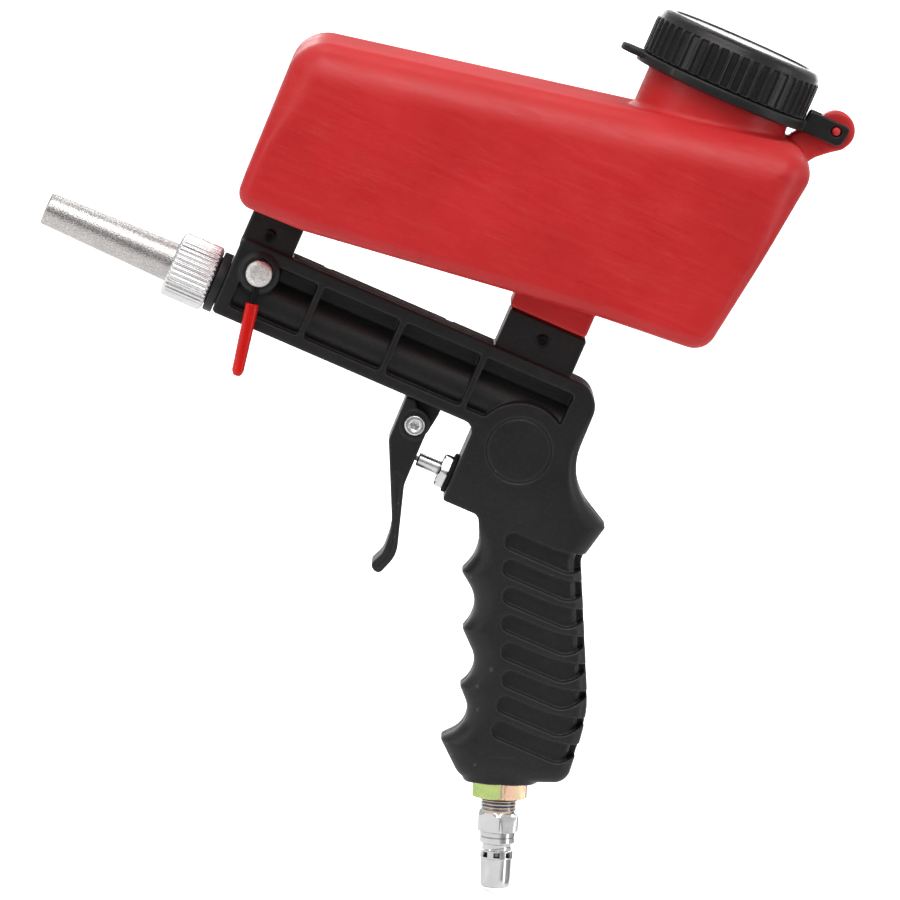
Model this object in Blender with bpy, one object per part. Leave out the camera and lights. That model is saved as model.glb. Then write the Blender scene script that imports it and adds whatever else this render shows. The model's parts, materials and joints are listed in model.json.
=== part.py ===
"""Hand-held, gravity-feed sand blasting gun with a lidded hopper, modelled as separate pieces.

Constants and helpers are in millimetres, in the gun's frame: X runs back along the barrel from the
body's front face, Y goes across, Z is up and Z = 0 is the nozzle's axis.  finish_object() turns each mesh
into metres, and the gun_frame empty puts the world origin under the middle of the whole gun.
"""
import math

import bmesh
import bpy
from mathutils import Vector

MM = 0.001
GAP = 0.3                        # clearance between neighbouring pieces


# Body halves
HALF_WIDTH = 12.5
SPLIT = 0.15                     # each half stops this far from the middle plane
BODY_TOP, BODY_BOTTOM = 19.0, -9.2
POCKET_LOW, POCKET_TOP, POCKET_DEPTH = -5.1, 14.4, 5.5
POCKETS = [(5.0, 30.6), (32.8, 61.6), (63.8, 92.3)]
BARREL_R, BARREL_BORE = 9.1, 7.4
POST_HALF, SOCKET_HALF = 9.8, 7.9
BADGE_X, BADGE_Z, BADGE_R = 117.5, -11.2, 11.3
SLOT_TOP, SLOT_PITCH, SLOT_HEIGHT, SLOT_DEPTH = -44.2, 9.0, 5.8, 2.1
SLOT_STARTS = [125.5, 128.5, 132.5, 136.0, 140.0, 144.0, 146.0, 148.0]
BODY_SCREWS = [(31.7, 16.4), (78.0, 16.4), (131.4, 6.0), (146.5, -34.0), (121.6, -57.2),
               (138.4, -93.4), (170.3, -112.4)]
SCREW_R, SCREW_HEAD_R, SCREW_HOLE_R = 1.25, 2.1, 1.6

# Nozzle end, turned about X
NOZZLE_TIP, NOZZLE_ROOT = -67.0, -14.2
NOZZLE_BORE, NOZZLE_TIP_R, NOZZLE_ROOT_R = 3.0, 5.8, 7.1
NUT_FRONT, NUT_BACK, NUT_R = -19.3, -3.7, 11.8
SPIGOT_R, BLOCK_BACK, BLOCK_BORE = 8.6, 26.0, 5.1
FEED_BORE = 3.6
RISER_X, BEND_R = 108.0, 9.0     # air tube: where it rises from the valve, and its bend
AIR_TUBE_R, AIR_TUBE_BORE = 4.0, 3.0

# Feed valve, turned about Y
VALVE_X, VALVE_Z = 10.0, 9.8
PLUG_R, PLUG_BORE = 4.3, 4.6
LEVER_Y, LEVER_R, LEVER_TILT = -15.1, 0.95, math.radians(11)     # tilt: backwards from straight down

# Trigger and air valve
PIVOT_X, PIVOT_Z, PIVOT_R = 80.8, -17.7, 2.0
LUG_HALF, TRIGGER_HALF = 4.5, 9.0
STEM_Z, STEM_R, STEM_TIP = -29.2, 2.5, 85.9
CHAMBER_FRONT, CHAMBER_BACK, CHAMBER_R = 102.5, 136.0, 8.4
SPRING_FRONT, SPRING_BACK, SPRING_R, SPRING_WIRE_R = 119.6, 131.8, 3.05, 0.42

# Inlet: an axis leaning back from the grip's base
INLET_X, INLET_Z = 158.5, -121.3
INLET_TILT = math.radians(20.7)
INLET_TUBE_R, INLET_TUBE_BORE, INLET_TUBE_LENGTH = 6.0, 4.5, 87.0
ADAPTER_HEX, AIR_PLUG_HEX, GLAND_HEX = 19.0, 14.0, 12.0
AIR_PLUG_END, AIR_PLUG_TIP_R, AIR_PLUG_BORE = 38.9, 4.3, 3.4

# Hopper and lid
HOPPER_HALF, WALL = 44.0, 2.5
TANK_FRONT, TANK_BACK, TANK_TOP, TOP_SLOPE = -9.2, 172.6, 92.1, math.radians(11)
TOP_ROUND, SIDE_ROUND, BOTTOM_ROUND = 15.0, 9.0, 6.0
HOPPER_SCREWS = [("front", 8.3, 23.0), ("rear", 109.8, 27.0)]
NECK_X, NECK_R, NECK_BORE, NECK_TOP = 132.2, 26.3, 23.3, 142.0
HINGE_X, HINGE_Z, HINGE_PIN_R = 174.2, 134.4, 1.5
RING_LOW, RING_TOP, RING_R, RING_BORE = 129.6, 133.2, 31.5, 27.6
ARM_INNER, ARM_OUTER = 4.4, 7.6
CAP_LOW, CAP_TOP, CAP_R = 133.5, 150.3, 30.6
CAP_RIBS = 48
LUG_R = 6.8

# The world origin sits under the middle of the assembled gun.
X_MIDDLE = (NOZZLE_TIP + HINGE_X + LUG_R) / 2
Z_BOTTOM = INLET_Z - AIR_PLUG_END * math.cos(INLET_TILT) - AIR_PLUG_TIP_R * math.sin(INLET_TILT)


# ---------------------------------------------------------------- scene and materials

def clear_scene():
    for thing in list(bpy.data.objects):
        bpy.data.objects.remove(thing, do_unlink=True)


def make_material(name, colour, roughness, metallic):
    made = bpy.data.materials.new(name)
    made.use_nodes = True
    shader = made.node_tree.nodes["Principled BSDF"]
    shader.inputs["Base Color"].default_value = (*colour, 1.0)
    shader.inputs["Roughness"].default_value = roughness
    shader.inputs["Metallic"].default_value = metallic
    return made


def make_empty(name, parent, x, y, z, rotation=(0.0, 0.0, 0.0)):
    empty = bpy.data.objects.new(name, None)
    bpy.context.collection.objects.link(empty)
    empty.parent = parent
    empty.location = Vector((x, y, z)) * MM
    empty.rotation_euler = rotation
    return empty


def finish_object(name, mesh_data, parent, material, place=(0, 0, 0), rotation=(0, 0, 0)):
    """Turn a bmesh in millimetres into a named object in metres, placed under its parent."""
    bmesh.ops.recalc_face_normals(mesh_data, faces=mesh_data.faces)
    bmesh.ops.scale(mesh_data, vec=(MM, MM, MM), verts=mesh_data.verts)
    mesh = bpy.data.meshes.new(name)
    mesh_data.to_mesh(mesh)
    mesh_data.free()
    mesh.shade_smooth()
    mesh.set_sharp_from_angle(angle=math.radians(35))
    made = bpy.data.objects.new(name, mesh)
    bpy.context.collection.objects.link(made)
    made.parent = parent
    made.location = Vector(place) * MM
    made.rotation_euler = rotation
    if material:
        made.data.materials.append(material)
    return made


# ---------------------------------------------------------------- shape helpers

ALONG_X = (0.0, math.pi / 2, 0.0)
ALONG_Y = (-math.pi / 2, 0.0, 0.0)


def rounded(corners, degrees_per_step=22.5, fixed_steps=0):
    """Outline points of a polygon whose corners (x, z, radius) are rounded with true arcs."""
    points = []
    count = len(corners)
    for i, (x, z, radius) in enumerate(corners):
        here = Vector((x, z))
        before = (Vector(corners[i - 1][:2]) - here).normalized()
        after = (Vector(corners[(i + 1) % count][:2]) - here).normalized()
        between = before.angle(after)
        if radius <= 0 or between > math.radians(179):
            points.append(here)
            continue
        centre = here + (before + after).normalized() * (radius / math.sin(between / 2))
        start = here + before * (radius / math.tan(between / 2)) - centre
        turn = math.pi - between
        if before.x * after.y - before.y * after.x > 0:
            turn = -turn
        steps = fixed_steps or max(1, round(math.degrees(abs(turn)) / degrees_per_step))
        for k in range(steps + 1):
            angle = turn * k / steps
            points.append(centre + Vector((start.x * math.cos(angle) - start.y * math.sin(angle),
                                           start.x * math.sin(angle) + start.y * math.cos(angle))))
    return points


def box_corners(x_low, x_high, z_low, z_high, radius=0.0):
    return [(x_low, z_low, radius), (x_high, z_low, radius),
            (x_high, z_high, radius), (x_low, z_high, radius)]


def prism(outline, y_low, y_high):
    """A closed slab: the XZ outline drawn from y_low to y_high."""
    made = bmesh.new()
    face = made.faces.new([made.verts.new((p[0], y_low, p[1])) for p in outline])
    grown = bmesh.ops.extrude_face_region(made, geom=[face])
    moved = [v for v in grown["geom"] if isinstance(v, bmesh.types.BMVert)]
    bmesh.ops.translate(made, vec=(0, y_high - y_low, 0), verts=moved)
    return made


def stack_rings(rings, closed_loop=False):
    """Skin a list of equal-length point rings; ends are capped unless the list closes on itself."""
    made = bmesh.new()
    rows = [[made.verts.new(p) for p in ring] for ring in rings]
    pairs = list(zip(rows, rows[1:]))
    if closed_loop:
        pairs.append((rows[-1], rows[0]))
    for low, high in pairs:
        for i in range(len(low)):
            j = (i + 1) % len(low)
            made.faces.new((low[i], low[j], high[j], high[i]))
    if not closed_loop:
        made.faces.new(rows[0][::-1])
        made.faces.new(rows[-1])
    return made


def circle(radius, along, sides, turn=0.0):
    return [Vector((radius * math.cos(turn + 2 * math.pi * i / sides),
                    radius * math.sin(turn + 2 * math.pi * i / sides), along)) for i in range(sides)]


def turned(profile, sides=24, hollow=False, turn=0.0):
    """Turn (along, radius) pairs about Z: outside only, or right round and back inside when hollow."""
    return stack_rings([circle(radius, along, sides, turn) for along, radius in profile], hollow)


def hexed(profile, across_flats, hollow=True, turn=0.0):
    """As turned(), with six sides where the radius is None, twelve points to a ring."""
    corner = across_flats / math.sqrt(3)
    flat = across_flats / 2
    rings = []
    for along, radius in profile:
        radii = (corner, flat) if radius is None else (radius, radius)
        rings.append([Vector((radii[i % 2] * math.cos(turn + math.pi * i / 6),
                              radii[i % 2] * math.sin(turn + math.pi * i / 6), along)) for i in range(12)])
    return stack_rings(rings, hollow)


def swept(path, outer, sides, inner=0.0):
    """A rod along XZ points, or an open-ended pipe when it has an inner radius."""
    rings = []
    for i, (x, z) in enumerate(path):
        back = Vector(path[max(i - 1, 0)])
        ahead = Vector(path[min(i + 1, len(path) - 1)])
        along = (ahead - back).normalized()
        rings.append((Vector((x, 0, z)), Vector((-along.y, 0, along.x))))

    def ring(place, side, radius):
        return [place + side * (radius * math.cos(2 * math.pi * k / sides))
                + Vector((0, 1, 0)) * (radius * math.sin(2 * math.pi * k / sides)) for k in range(sides)]

    loops = [ring(place, side, outer) for place, side in rings]
    if inner:
        loops += [ring(place, side, inner) for place, side in reversed(rings)]
    return stack_rings(loops, inner > 0)


def boolean(target, name, mesh_data, operation, place=(0, 0, 0), rotation=(0, 0, 0)):
    """Cut or join a hidden tool object, drawn in the target's own parent frame."""
    tool = finish_object(name, mesh_data, target.parent, None, place, rotation)
    tool.hide_render = True
    tool.display_type = "WIRE"
    step = target.modifiers.new(name, "BOOLEAN")
    step.operation = operation
    step.object = tool
    step.solver = "EXACT"


def cut(target, name, mesh_data, place=(0, 0, 0), rotation=(0, 0, 0)):
    boolean(target, name, mesh_data, "DIFFERENCE", place, rotation)


def join(target, name, mesh_data, place=(0, 0, 0), rotation=(0, 0, 0)):
    boolean(target, name, mesh_data, "UNION", place, rotation)


# ---------------------------------------------------------------- body

def body_outline():
    """Barrel, three finger grooves, base, back strap and the beak over the thumb, as rounded corners."""
    return rounded([
        (0, BODY_TOP, 1.5), (0, BODY_BOTTOM, 1.5), (100, BODY_BOTTOM, 4), (100, -37.8, 1), (113.6, -37.8, 3),
        (119.5, -49.8, 14), (116.4, -58.8, 0.8), (127.9, -67.2, 12), (124.7, -77.2, 0.8), (136.4, -87.9, 10),
        (131.9, -96.1, 0.8), (141.7, -105.7, 9), (132.9, -115.8, 1.2), (145.8, -126.8, 8), (179.9, -112.6, 6),
        (177.4, -87.6, 50), (153.2, -38.5, 5), (156.4, -24.4, 0.8), (137.2, -14.0, 22),
        (136.2, BODY_TOP, 9)], 30)


def along_inlet(distance):
    """XZ point on the inlet's axis, at a distance below its start."""
    return (INLET_X + distance * math.sin(INLET_TILT), INLET_Z - distance * math.cos(INLET_TILT))


def air_path(x_end, z_start):
    """Up from the air valve, round a bend, and forward along the barrel."""
    bend = [(RISER_X - BEND_R * (1 - math.cos(angle)), BEND_R * (math.sin(angle) - 1))
            for angle in (math.radians(15 * step) for step in range(7))]
    return [(RISER_X, z_start)] + bend + [(x_end, 0)]


def half_barrel(side):
    """Half of the round barrel that shows as the floor of the side pockets."""
    ends = []
    for x in (3.0, 128.0):
        arc = [(side * BARREL_R * math.sin(math.pi * k / 12), BARREL_R * math.cos(math.pi * k / 12))
               for k in range(13)]
        ends.append([Vector((x, y if 0 < k < 12 else side * SPLIT, z)) for k, (y, z) in enumerate(arc)])
    return stack_rings(ends)


def cut_body_cavities(half, tag):
    """Everything the two halves hold between them, cut to full depth at the middle plane."""
    bore = turned([(-2, BARREL_BORE + GAP), (BLOCK_BACK + GAP, BARREL_BORE + GAP), (BLOCK_BACK + 4, 4.6)], 18)
    cut(half, tag + "_barrel_bore", bore, rotation=ALONG_X)
    cut(half, tag + "_air_way", swept(air_path(BLOCK_BACK + 3, -24), 4.6, 14))
    room = turned([(CHAMBER_FRONT, CHAMBER_R), (CHAMBER_BACK + GAP, CHAMBER_R)], 20)
    cut(half, tag + "_valve_room", room, (0, 0, STEM_Z), ALONG_X)
    cut(half, tag + "_gland_hole", turned([(98, 5.0), (104, 5.0)], 16), (0, 0, STEM_Z), ALONG_X)
    x_top, z_top = along_inlet(-92)
    lean = (0, math.pi - INLET_TILT, 0)
    cut(half, tag + "_inlet_way", turned([(0, 6.5), (76.6, 6.5), (77.2, 9.0), (95, 9.0)], 20),
        (x_top, 0, z_top), lean)
    x_hex, z_hex = along_inlet(-0.9)
    cut(half, tag + "_hex_seat", turned([(0, 11.4), (20, 11.4)], 24), (x_hex, 0, z_hex), lean)
    cut(half, tag + "_feed_way", turned([(9, FEED_BORE), (26, FEED_BORE)], 16), (VALVE_X, 0, 0))
    cut(half, tag + "_plug_bore", turned([(-20, PLUG_BORE), (20, PLUG_BORE)], 24),
        (VALVE_X, 0, VALVE_Z), ALONG_Y)
    for name, corners in (("_front_socket", box_corners(1.9, 16.4, 19.7, 40, 1)),
                          ("_rear_socket", box_corners(97.0, 121.6, 20.4, 50, 1))):
        cut(half, tag + name, prism(rounded(corners), -SOCKET_HALF, SOCKET_HALF))


def cut_body_outside(half, tag, side):
    """Side pockets between ribs, the blank badge ring and the grip's slots."""
    face = side * HALF_WIDTH
    deep = face - side * POCKET_DEPTH
    proud = face + side * 2
    y_low, y_high = sorted((deep, proud))
    for index, (x_low, x_high) in enumerate(POCKETS):
        pocket = rounded(box_corners(x_low, x_high, POCKET_LOW, POCKET_TOP, 1.5))
        cut(half, f"{tag}_pocket_{index + 1}", prism(pocket, y_low, y_high))
    last = rounded([(94.5, POCKET_LOW, 1), (103.0, POCKET_LOW, 1), (107.5, 2.0, 4), (117.5, 5.0, 14),
                    (125.8, 4.2, 1.2), (127.2, POCKET_TOP, 1.5), (94.5, POCKET_TOP, 1)])
    cut(half, tag + "_pocket_4", prism(last, y_low, y_high))
    low, high = sorted((face - side * 0.5, proud))
    outer, inner = BADGE_R + GAP, BADGE_R - GAP
    badge = turned([(low, outer), (high, outer), (high, inner), (low, inner)], 32, True)
    cut(half, tag + "_badge_ring", badge, (BADGE_X, 0, BADGE_Z), ALONG_Y)
    slot_low, slot_high = sorted((face - side * SLOT_DEPTH, proud))
    for index, x_left in enumerate(SLOT_STARTS):
        z_low = SLOT_TOP - index * SLOT_PITCH
        back = 153.5 + 0.36 * (index * SLOT_PITCH) if index < 5 else 175.2 + (index - 5) * 1.0
        corners = [(x_left, z_low, 2.6), (back, z_low, 0.8), (back, z_low + SLOT_HEIGHT, 0.8),
                   (x_left, z_low + SLOT_HEIGHT, 2.6)]
        cut(half, f"{tag}_slot_{index + 1}", prism(rounded(corners, 45), slot_low, slot_high))


def build_body_half(name, side, parent, plastic):
    """side is -1 for the left half and +1 for the right one, which also takes the screw heads."""
    tag = name
    y_low, y_high = sorted((side * SPLIT, side * HALF_WIDTH))
    half = finish_object(name, prism(body_outline(), y_low, y_high), parent, plastic)
    post_low, post_high = sorted((side * SPLIT, side * POST_HALF))
    for name, corners in (("_front_post", box_corners(-0.3, 18.4, 15.6, 30.8, 1)),
                          ("_rear_post", box_corners(95.2, 124.0, 15.6, 33.2, 1))):
        join(half, tag + name, prism(rounded(corners), post_low, post_high))
    lug_low, lug_high = sorted((side * SPLIT, side * LUG_HALF))
    lug = rounded([(76.6, -6, 0), (76.6, -22.5, 4.6), (85.6, -22.5, 4.6), (87.2, -12, 1), (87.2, -6, 0)])
    join(half, tag + "_trigger_lug", prism(lug, lug_low, lug_high))
    inside, outside = sorted((side * (HALF_WIDTH - 2), side * (HALF_WIDTH + 1.2)))
    boss = turned([(inside, 7.0), (outside, 7.0)], 24)
    join(half, tag + "_plug_boss", boss, (VALVE_X, 0, VALVE_Z), ALONG_Y)
    cut_body_outside(half, tag, side)
    join(half, tag + "_barrel", half_barrel(side))
    cut_body_cavities(half, tag)
    pivot_hole = turned([(-10, PIVOT_R + GAP), (10, PIVOT_R + GAP)], 16)
    cut(half, tag + "_pivot_hole", pivot_hole, (PIVOT_X, 0, PIVOT_Z), ALONG_Y)
    if side < 0:
        for where, x, z in HOPPER_SCREWS:
            hole = turned([(-POST_HALF - 4, SCREW_HOLE_R), (-POST_HALF + 4, SCREW_HOLE_R)], 12)
            cut(half, f"{tag}_hopper_screw_{where}", hole, (x, 0, z), ALONG_Y)
    for index, (x, z) in enumerate(BODY_SCREWS):
        if side < 0:
            hole = turned([(-9.0, SCREW_HOLE_R), (2, SCREW_HOLE_R)], 12)
        else:
            wide = SCREW_HEAD_R + GAP
            hole = turned([(-2, SCREW_HOLE_R), (9.2, SCREW_HOLE_R), (9.4, wide), (20, wide)], 12)
        cut(half, f"{tag}_screw_hole_{index + 1}", hole, (x, 0, z), ALONG_Y)


def build_screws(parent, steel):
    """Body screws go in from the right; each has its own head, shank and six-sided socket."""
    profile = [(-8.6, SCREW_R), (9.7, SCREW_R), (9.7, SCREW_HEAD_R), (12.1, SCREW_HEAD_R - 0.1), (12.1, 1.1),
               (11.0, 1.1)]
    for index, (x, z) in enumerate(BODY_SCREWS):
        finish_object(f"body_screw_{index + 1}", turned(profile, 10), parent, steel, (x, 0, z), ALONG_Y)


# ---------------------------------------------------------------- nozzle end

def build_nozzle_end(parent, steel, aluminium, black, rubber):
    block = [(-12.6, SPIGOT_R), (-3.4, SPIGOT_R), (-3.4, 10.8), (-0.5, 10.8), (-0.5, BARREL_BORE),
             (BLOCK_BACK, BARREL_BORE), (BLOCK_BACK, BLOCK_BORE), (-12.6, BLOCK_BORE)]
    mixing = finish_object("mixing_block", turned(block, 20, True), parent, black, rotation=ALONG_X)
    cut(mixing, "mixing_block_plug_notch", turned([(-20, PLUG_BORE), (20, PLUG_BORE)], 24),
        (VALVE_X, 0, VALVE_Z), ALONG_Y)
    cut(mixing, "mixing_block_feed_hole", turned([(2, 3.5), (12, 3.5)], 16), (VALVE_X, 0, 0))
    nut = [(NUT_FRONT, 7.6), (NUT_FRONT, 10.9), (NUT_FRONT + 1, NUT_R), (NUT_BACK - 1, NUT_R),
           (NUT_BACK, 10.9), (NUT_BACK, 9.0), (-17.0, 9.0), (-17.0, 7.6)]
    finish_object("nozzle_nut", turned(nut, 36, True), make_empty("nozzle_nut_axis", parent, 0, 0, 0),
                  aluminium, rotation=ALONG_X)
    nozzle = [(NOZZLE_TIP, NOZZLE_BORE), (NOZZLE_TIP, NOZZLE_TIP_R - 0.6), (NOZZLE_TIP + 0.7, NOZZLE_TIP_R),
              (-17.2, NOZZLE_ROOT_R), (-16.7, NOZZLE_ROOT_R), (-16.7, 8.6), (NOZZLE_ROOT, 8.6),
              (NOZZLE_ROOT, 5.0), (NOZZLE_ROOT - 8, NOZZLE_BORE)]
    finish_object("nozzle", turned(nozzle, 20, True), parent, steel, rotation=ALONG_X)
    finish_object("nozzle_gasket", turned([(-13.9, 5.3), (-13.9, 8.5), (-12.9, 8.5), (-12.9, 5.3)], 18, True),
                  parent, rubber, rotation=ALONG_X)
    jet = [(3.0, 1.2), (3.0, 2.4), (14.0, 4.7), (25.6, 4.7), (25.6, 4.0), (25.6, 1.6), (6.0, 1.2)]
    finish_object("air_jet", turned(jet, 16, True), parent, aluminium, rotation=ALONG_X)
    path = air_path(BLOCK_BACK + GAP, -20.7)
    finish_object("air_tube", swept(path, AIR_TUBE_R, 12, inner=AIR_TUBE_BORE), parent, aluminium)


# ---------------------------------------------------------------- feed valve

def build_feed_valve(parent, steel, dark_steel, red, rubber):
    axis = make_empty("feed_valve_axis", parent, VALVE_X, 0, VALVE_Z)
    plug = [(-17.2, 1.6), (-16.6, 3.6), (-15.6, 4.5), (-14.1, 4.5), (-13.9, PLUG_R), (-10.4, PLUG_R),
            (-10.4, 3.1), (-8.6, 3.1), (-8.6, PLUG_R), (8.6, PLUG_R), (8.6, 3.1), (10.4, 3.1), (10.4, PLUG_R),
            (14.7, PLUG_R), (14.7, 3.4), (15.9, 3.4), (15.9, PLUG_R), (17.0, PLUG_R - 0.6)]
    body = finish_object("feed_valve_plug", turned(plug, 16), axis, steel, rotation=ALONG_Y)
    tilt = (0, -LEVER_TILT, 0)
    cut(body, "feed_valve_cross_bore", turned([(-8, 2.6), (8, 2.6)], 16), rotation=tilt)
    lever_hole = turned([(-8, LEVER_R + GAP), (8, LEVER_R + GAP)], 12)
    cut(body, "feed_valve_lever_hole", lever_hole, (0, LEVER_Y, 0), tilt)
    lean = (0, math.pi - LEVER_TILT, 0)
    rod = [(-5.6, 0.6), (-5.3, LEVER_R), (33.0, LEVER_R), (33.3, 0.6)]
    finish_object("feed_valve_lever", turned(rod, 10), axis, dark_steel, (0, LEVER_Y, 0), lean)
    sleeve = [(33.7, LEVER_R + GAP), (10.6, LEVER_R + GAP), (10.6, 2.2), (11.0, 2.45), (34.6, 2.1),
              (36.0, 1.5), (36.4, 0.6)]
    finish_object("lever_sleeve", turned(sleeve, 14), axis, red, (0, LEVER_Y, 0), lean)
    for name, low in (("feed_valve_o_ring_left", -10.1), ("feed_valve_o_ring_right", 8.9)):
        ring = [(low, 3.4), (low, 4.2), (low + 0.6, 4.42), (low + 1.2, 4.2), (low + 1.2, 3.4)]
        finish_object(name, turned(ring, 14, True), axis, rubber, rotation=ALONG_Y)
    washer = [(14.0, 4.6), (14.0, 6.6), (14.6, 6.6), (14.6, 4.6)]
    finish_object("feed_valve_washer", turned(washer, 16, True), axis, steel, rotation=ALONG_Y)
    clip = [(14.95, 3.7), (14.95, 5.6), (15.65, 5.6), (15.65, 3.7)]
    finish_object("feed_valve_clip", turned(clip, 16, True), axis, dark_steel, rotation=ALONG_Y)


# ---------------------------------------------------------------- hopper and lid

def hopper_corners(inset_top, inset_bottom, inset_side, shrink):
    """The hopper's side view moved inwards by a different amount at the top, bottom and ends."""
    back_top = TANK_TOP + (TANK_BACK - TANK_FRONT) * math.tan(TOP_SLOPE)
    down = inset_top / math.cos(TOP_SLOPE)
    lift = inset_side * math.tan(TOP_SLOPE)
    return [(TANK_FRONT + inset_side, TANK_TOP - down + lift, max(13 - shrink, 1)),
            (-8.0 + inset_side, 31.2 + inset_bottom, max(6 - shrink, 1)),
            (18, 31.7 + inset_bottom, 0), (123, 45.0 + inset_bottom, 0),
            (161.0 - inset_side, 48.0 + inset_bottom, max(8 - shrink, 1)),
            (166.6 - inset_side, 86.0, 0),
            (TANK_BACK - inset_side, back_top - down - lift, max(10 - shrink, 1))]


def hopper_skin(inset):
    """Side view stacked across the width, its edges rounded over towards both flanks."""
    stations = []
    for angle in (0, 22.5, 45, 67.5, 90):
        fall = 1 - math.cos(math.radians(angle))
        run = 1 - math.sin(math.radians(angle))
        stations.append((run, fall))
    rings = []
    half = HOPPER_HALF - inset
    for run, fall in reversed(stations):
        rings.append((-(half - TOP_ROUND * run), fall))
    for run, fall in stations:
        rings.append((half - TOP_ROUND * run, fall))
    made = []
    for y, fall in rings:
        outline = rounded(hopper_corners(inset + TOP_ROUND * fall, inset + BOTTOM_ROUND * fall,
                                         inset + SIDE_ROUND * fall, inset + 4 * fall), fixed_steps=4)
        made.append([Vector((p.x, y, p.y)) for p in outline])
    return stack_rings(made)


def build_hopper(parent, red):
    hopper = finish_object("hopper", hopper_skin(0.0), parent, red)
    neck = [(100, NECK_R + 2.6), (112.5, NECK_R + 2.6), (121, NECK_R), (NECK_TOP - 1, NECK_R),
            (NECK_TOP, NECK_R - 0.8)]
    join(hopper, "hopper_neck", turned(neck, 40), (NECK_X, 0, 0))
    join(hopper, "hopper_front_leg", prism(rounded(box_corners(2.3, 16.0, 21.6, 40, 1)), -7.5, 7.5))
    join(hopper, "hopper_rear_leg", prism(rounded(box_corners(97.4, 121.2, 20.9, 60, 1)), -7.5, 7.5))
    join(hopper, "hopper_rear_shoulder", prism(rounded(box_corners(94.4, 123.2, 33.6, 60, 1)), -9.6, 9.6))
    hinge = (HINGE_X, 0, HINGE_Z)
    join(hopper, "hopper_hinge_eye", turned([(-4.0, LUG_R), (4.0, LUG_R)], 24), hinge, ALONG_Y)
    web = rounded([(HINGE_X + 5.0, HINGE_Z - 4.6, 0), (HINGE_X - 6.2, HINGE_Z - 1, 0), (163.5, 125, 3),
                   (158, 118, 0), (167, 117, 0), (171.6, 123.2, 2)], 30)
    join(hopper, "hopper_hinge_web", prism(web, -3.8, 3.8))
    stubs = [(-8.4, HINGE_PIN_R - GAP), (-8.1, HINGE_PIN_R), (8.1, HINGE_PIN_R), (8.4, HINGE_PIN_R - GAP)]
    join(hopper, "hopper_hinge_stubs", turned(stubs, 12), hinge, ALONG_Y)
    cut(hopper, "hopper_cavity", hopper_skin(WALL))
    cut(hopper, "hopper_neck_bore", turned([(90, NECK_BORE), (150, NECK_BORE)], 40), (NECK_X, 0, 0))
    cut(hopper, "hopper_outlet", turned([(10, FEED_BORE), (50, FEED_BORE)], 16), (VALVE_X, 0, 0))
    for where, x, z in HOPPER_SCREWS:
        hole = turned([(-12, SCREW_HOLE_R), (-3.9, SCREW_HOLE_R)], 12)
        cut(hopper, f"hopper_screw_hole_{where}", hole, (x, 0, z), ALONG_Y)


def build_hopper_fixings(parent, steel, rubber):
    seal = [(20.0, 3.9), (20.0, 6.2), (21.3, 6.2), (21.3, 3.9)]
    finish_object("hopper_outlet_seal", turned(seal, 20, True), parent, rubber, (VALVE_X - 1.0, 0, 0))
    screw = [(-9.9, 1.1), (-10.6, 1.1), (-10.6, 1.8), (-10.3, 2.3), (-9.85, 2.3), (-9.85, 1.2), (-4.4, 1.2)]
    for where, x, z in HOPPER_SCREWS:
        finish_object("hopper_screw_" + where, turned(screw, 12), parent, steel, (x, 0, z), ALONG_Y)


def build_lid(parent, black, rubber):
    hinge = make_empty("lid_hinge_axis", parent, HINGE_X, 0, HINGE_Z)
    x_neck = NECK_X - HINGE_X
    ring = [(RING_LOW, RING_BORE), (RING_LOW, RING_R), (RING_TOP, RING_R), (RING_TOP, 28.7),
            (137.5, 28.7), (137.5, RING_BORE)]
    lifted = [(z - HINGE_Z, radius) for z, radius in ring]
    lid_ring = finish_object("lid_ring", turned(lifted, 40, True), hinge, black, (x_neck, 0, 0))
    tab = prism(rounded(box_corners(-79.3, x_neck - 29, 130.9 - HINGE_Z, 133.4 - HINGE_Z)), -8, 8)
    join(lid_ring, "lid_ring_tab", tab)
    arm = rounded([(-14.0, -4.7, 0), (3.4, -4.7, 2.4), (4.6, 3.0, 1.6), (-10.4, 3.2, 1.0), (-11.0, -1.2, 0),
                   (-14.0, -1.2, 0)], 45)
    join(lid_ring, "lid_ring_arm_left", prism(arm, -ARM_OUTER, -ARM_INNER))
    join(lid_ring, "lid_ring_arm_right", prism(arm, ARM_INNER, ARM_OUTER))
    pin_hole = turned([(-9, HINGE_PIN_R + GAP), (9, HINGE_PIN_R + GAP)], 16)
    cut(lid_ring, "lid_ring_pin_hole", pin_hole, rotation=ALONG_Y)
    cap_axis = make_empty("screw_cap_axis", hinge, x_neck, 0, 0)
    sides = CAP_RIBS * 2

    def ribbed(radius, z):
        return [Vector(((radius - 0.9 * (i % 2)) * math.cos(2 * math.pi * i / sides),
                        (radius - 0.9 * (i % 2)) * math.sin(2 * math.pi * i / sides), z - HINGE_Z))
                for i in range(sides)]

    outside = [circle(29.0, CAP_LOW - HINGE_Z, sides), ribbed(CAP_R, CAP_LOW), ribbed(CAP_R - 0.2, 146.0),
               circle(CAP_R - 0.9, 147.4 - HINGE_Z, sides), circle(28.2, CAP_TOP - 0.6 - HINGE_Z, sides),
               circle(26.2, CAP_TOP - HINGE_Z, sides), circle(25.6, CAP_TOP - 0.6 - HINGE_Z, sides),
               circle(25.4, CAP_TOP - 1.4 - HINGE_Z, sides)]
    ceiling = [circle(29.0, 144.8 - HINGE_Z, sides)]
    finish_object("screw_cap", stack_rings(ceiling + outside), cap_axis, black)
    gasket = [(142.4, 21.6), (142.4, 26.6), (144.4, 26.6), (144.4, 21.6)]
    finish_object("cap_gasket", turned([(z - HINGE_Z, radius) for z, radius in gasket], 24, True),
                  cap_axis, rubber)


# ---------------------------------------------------------------- trigger

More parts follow.
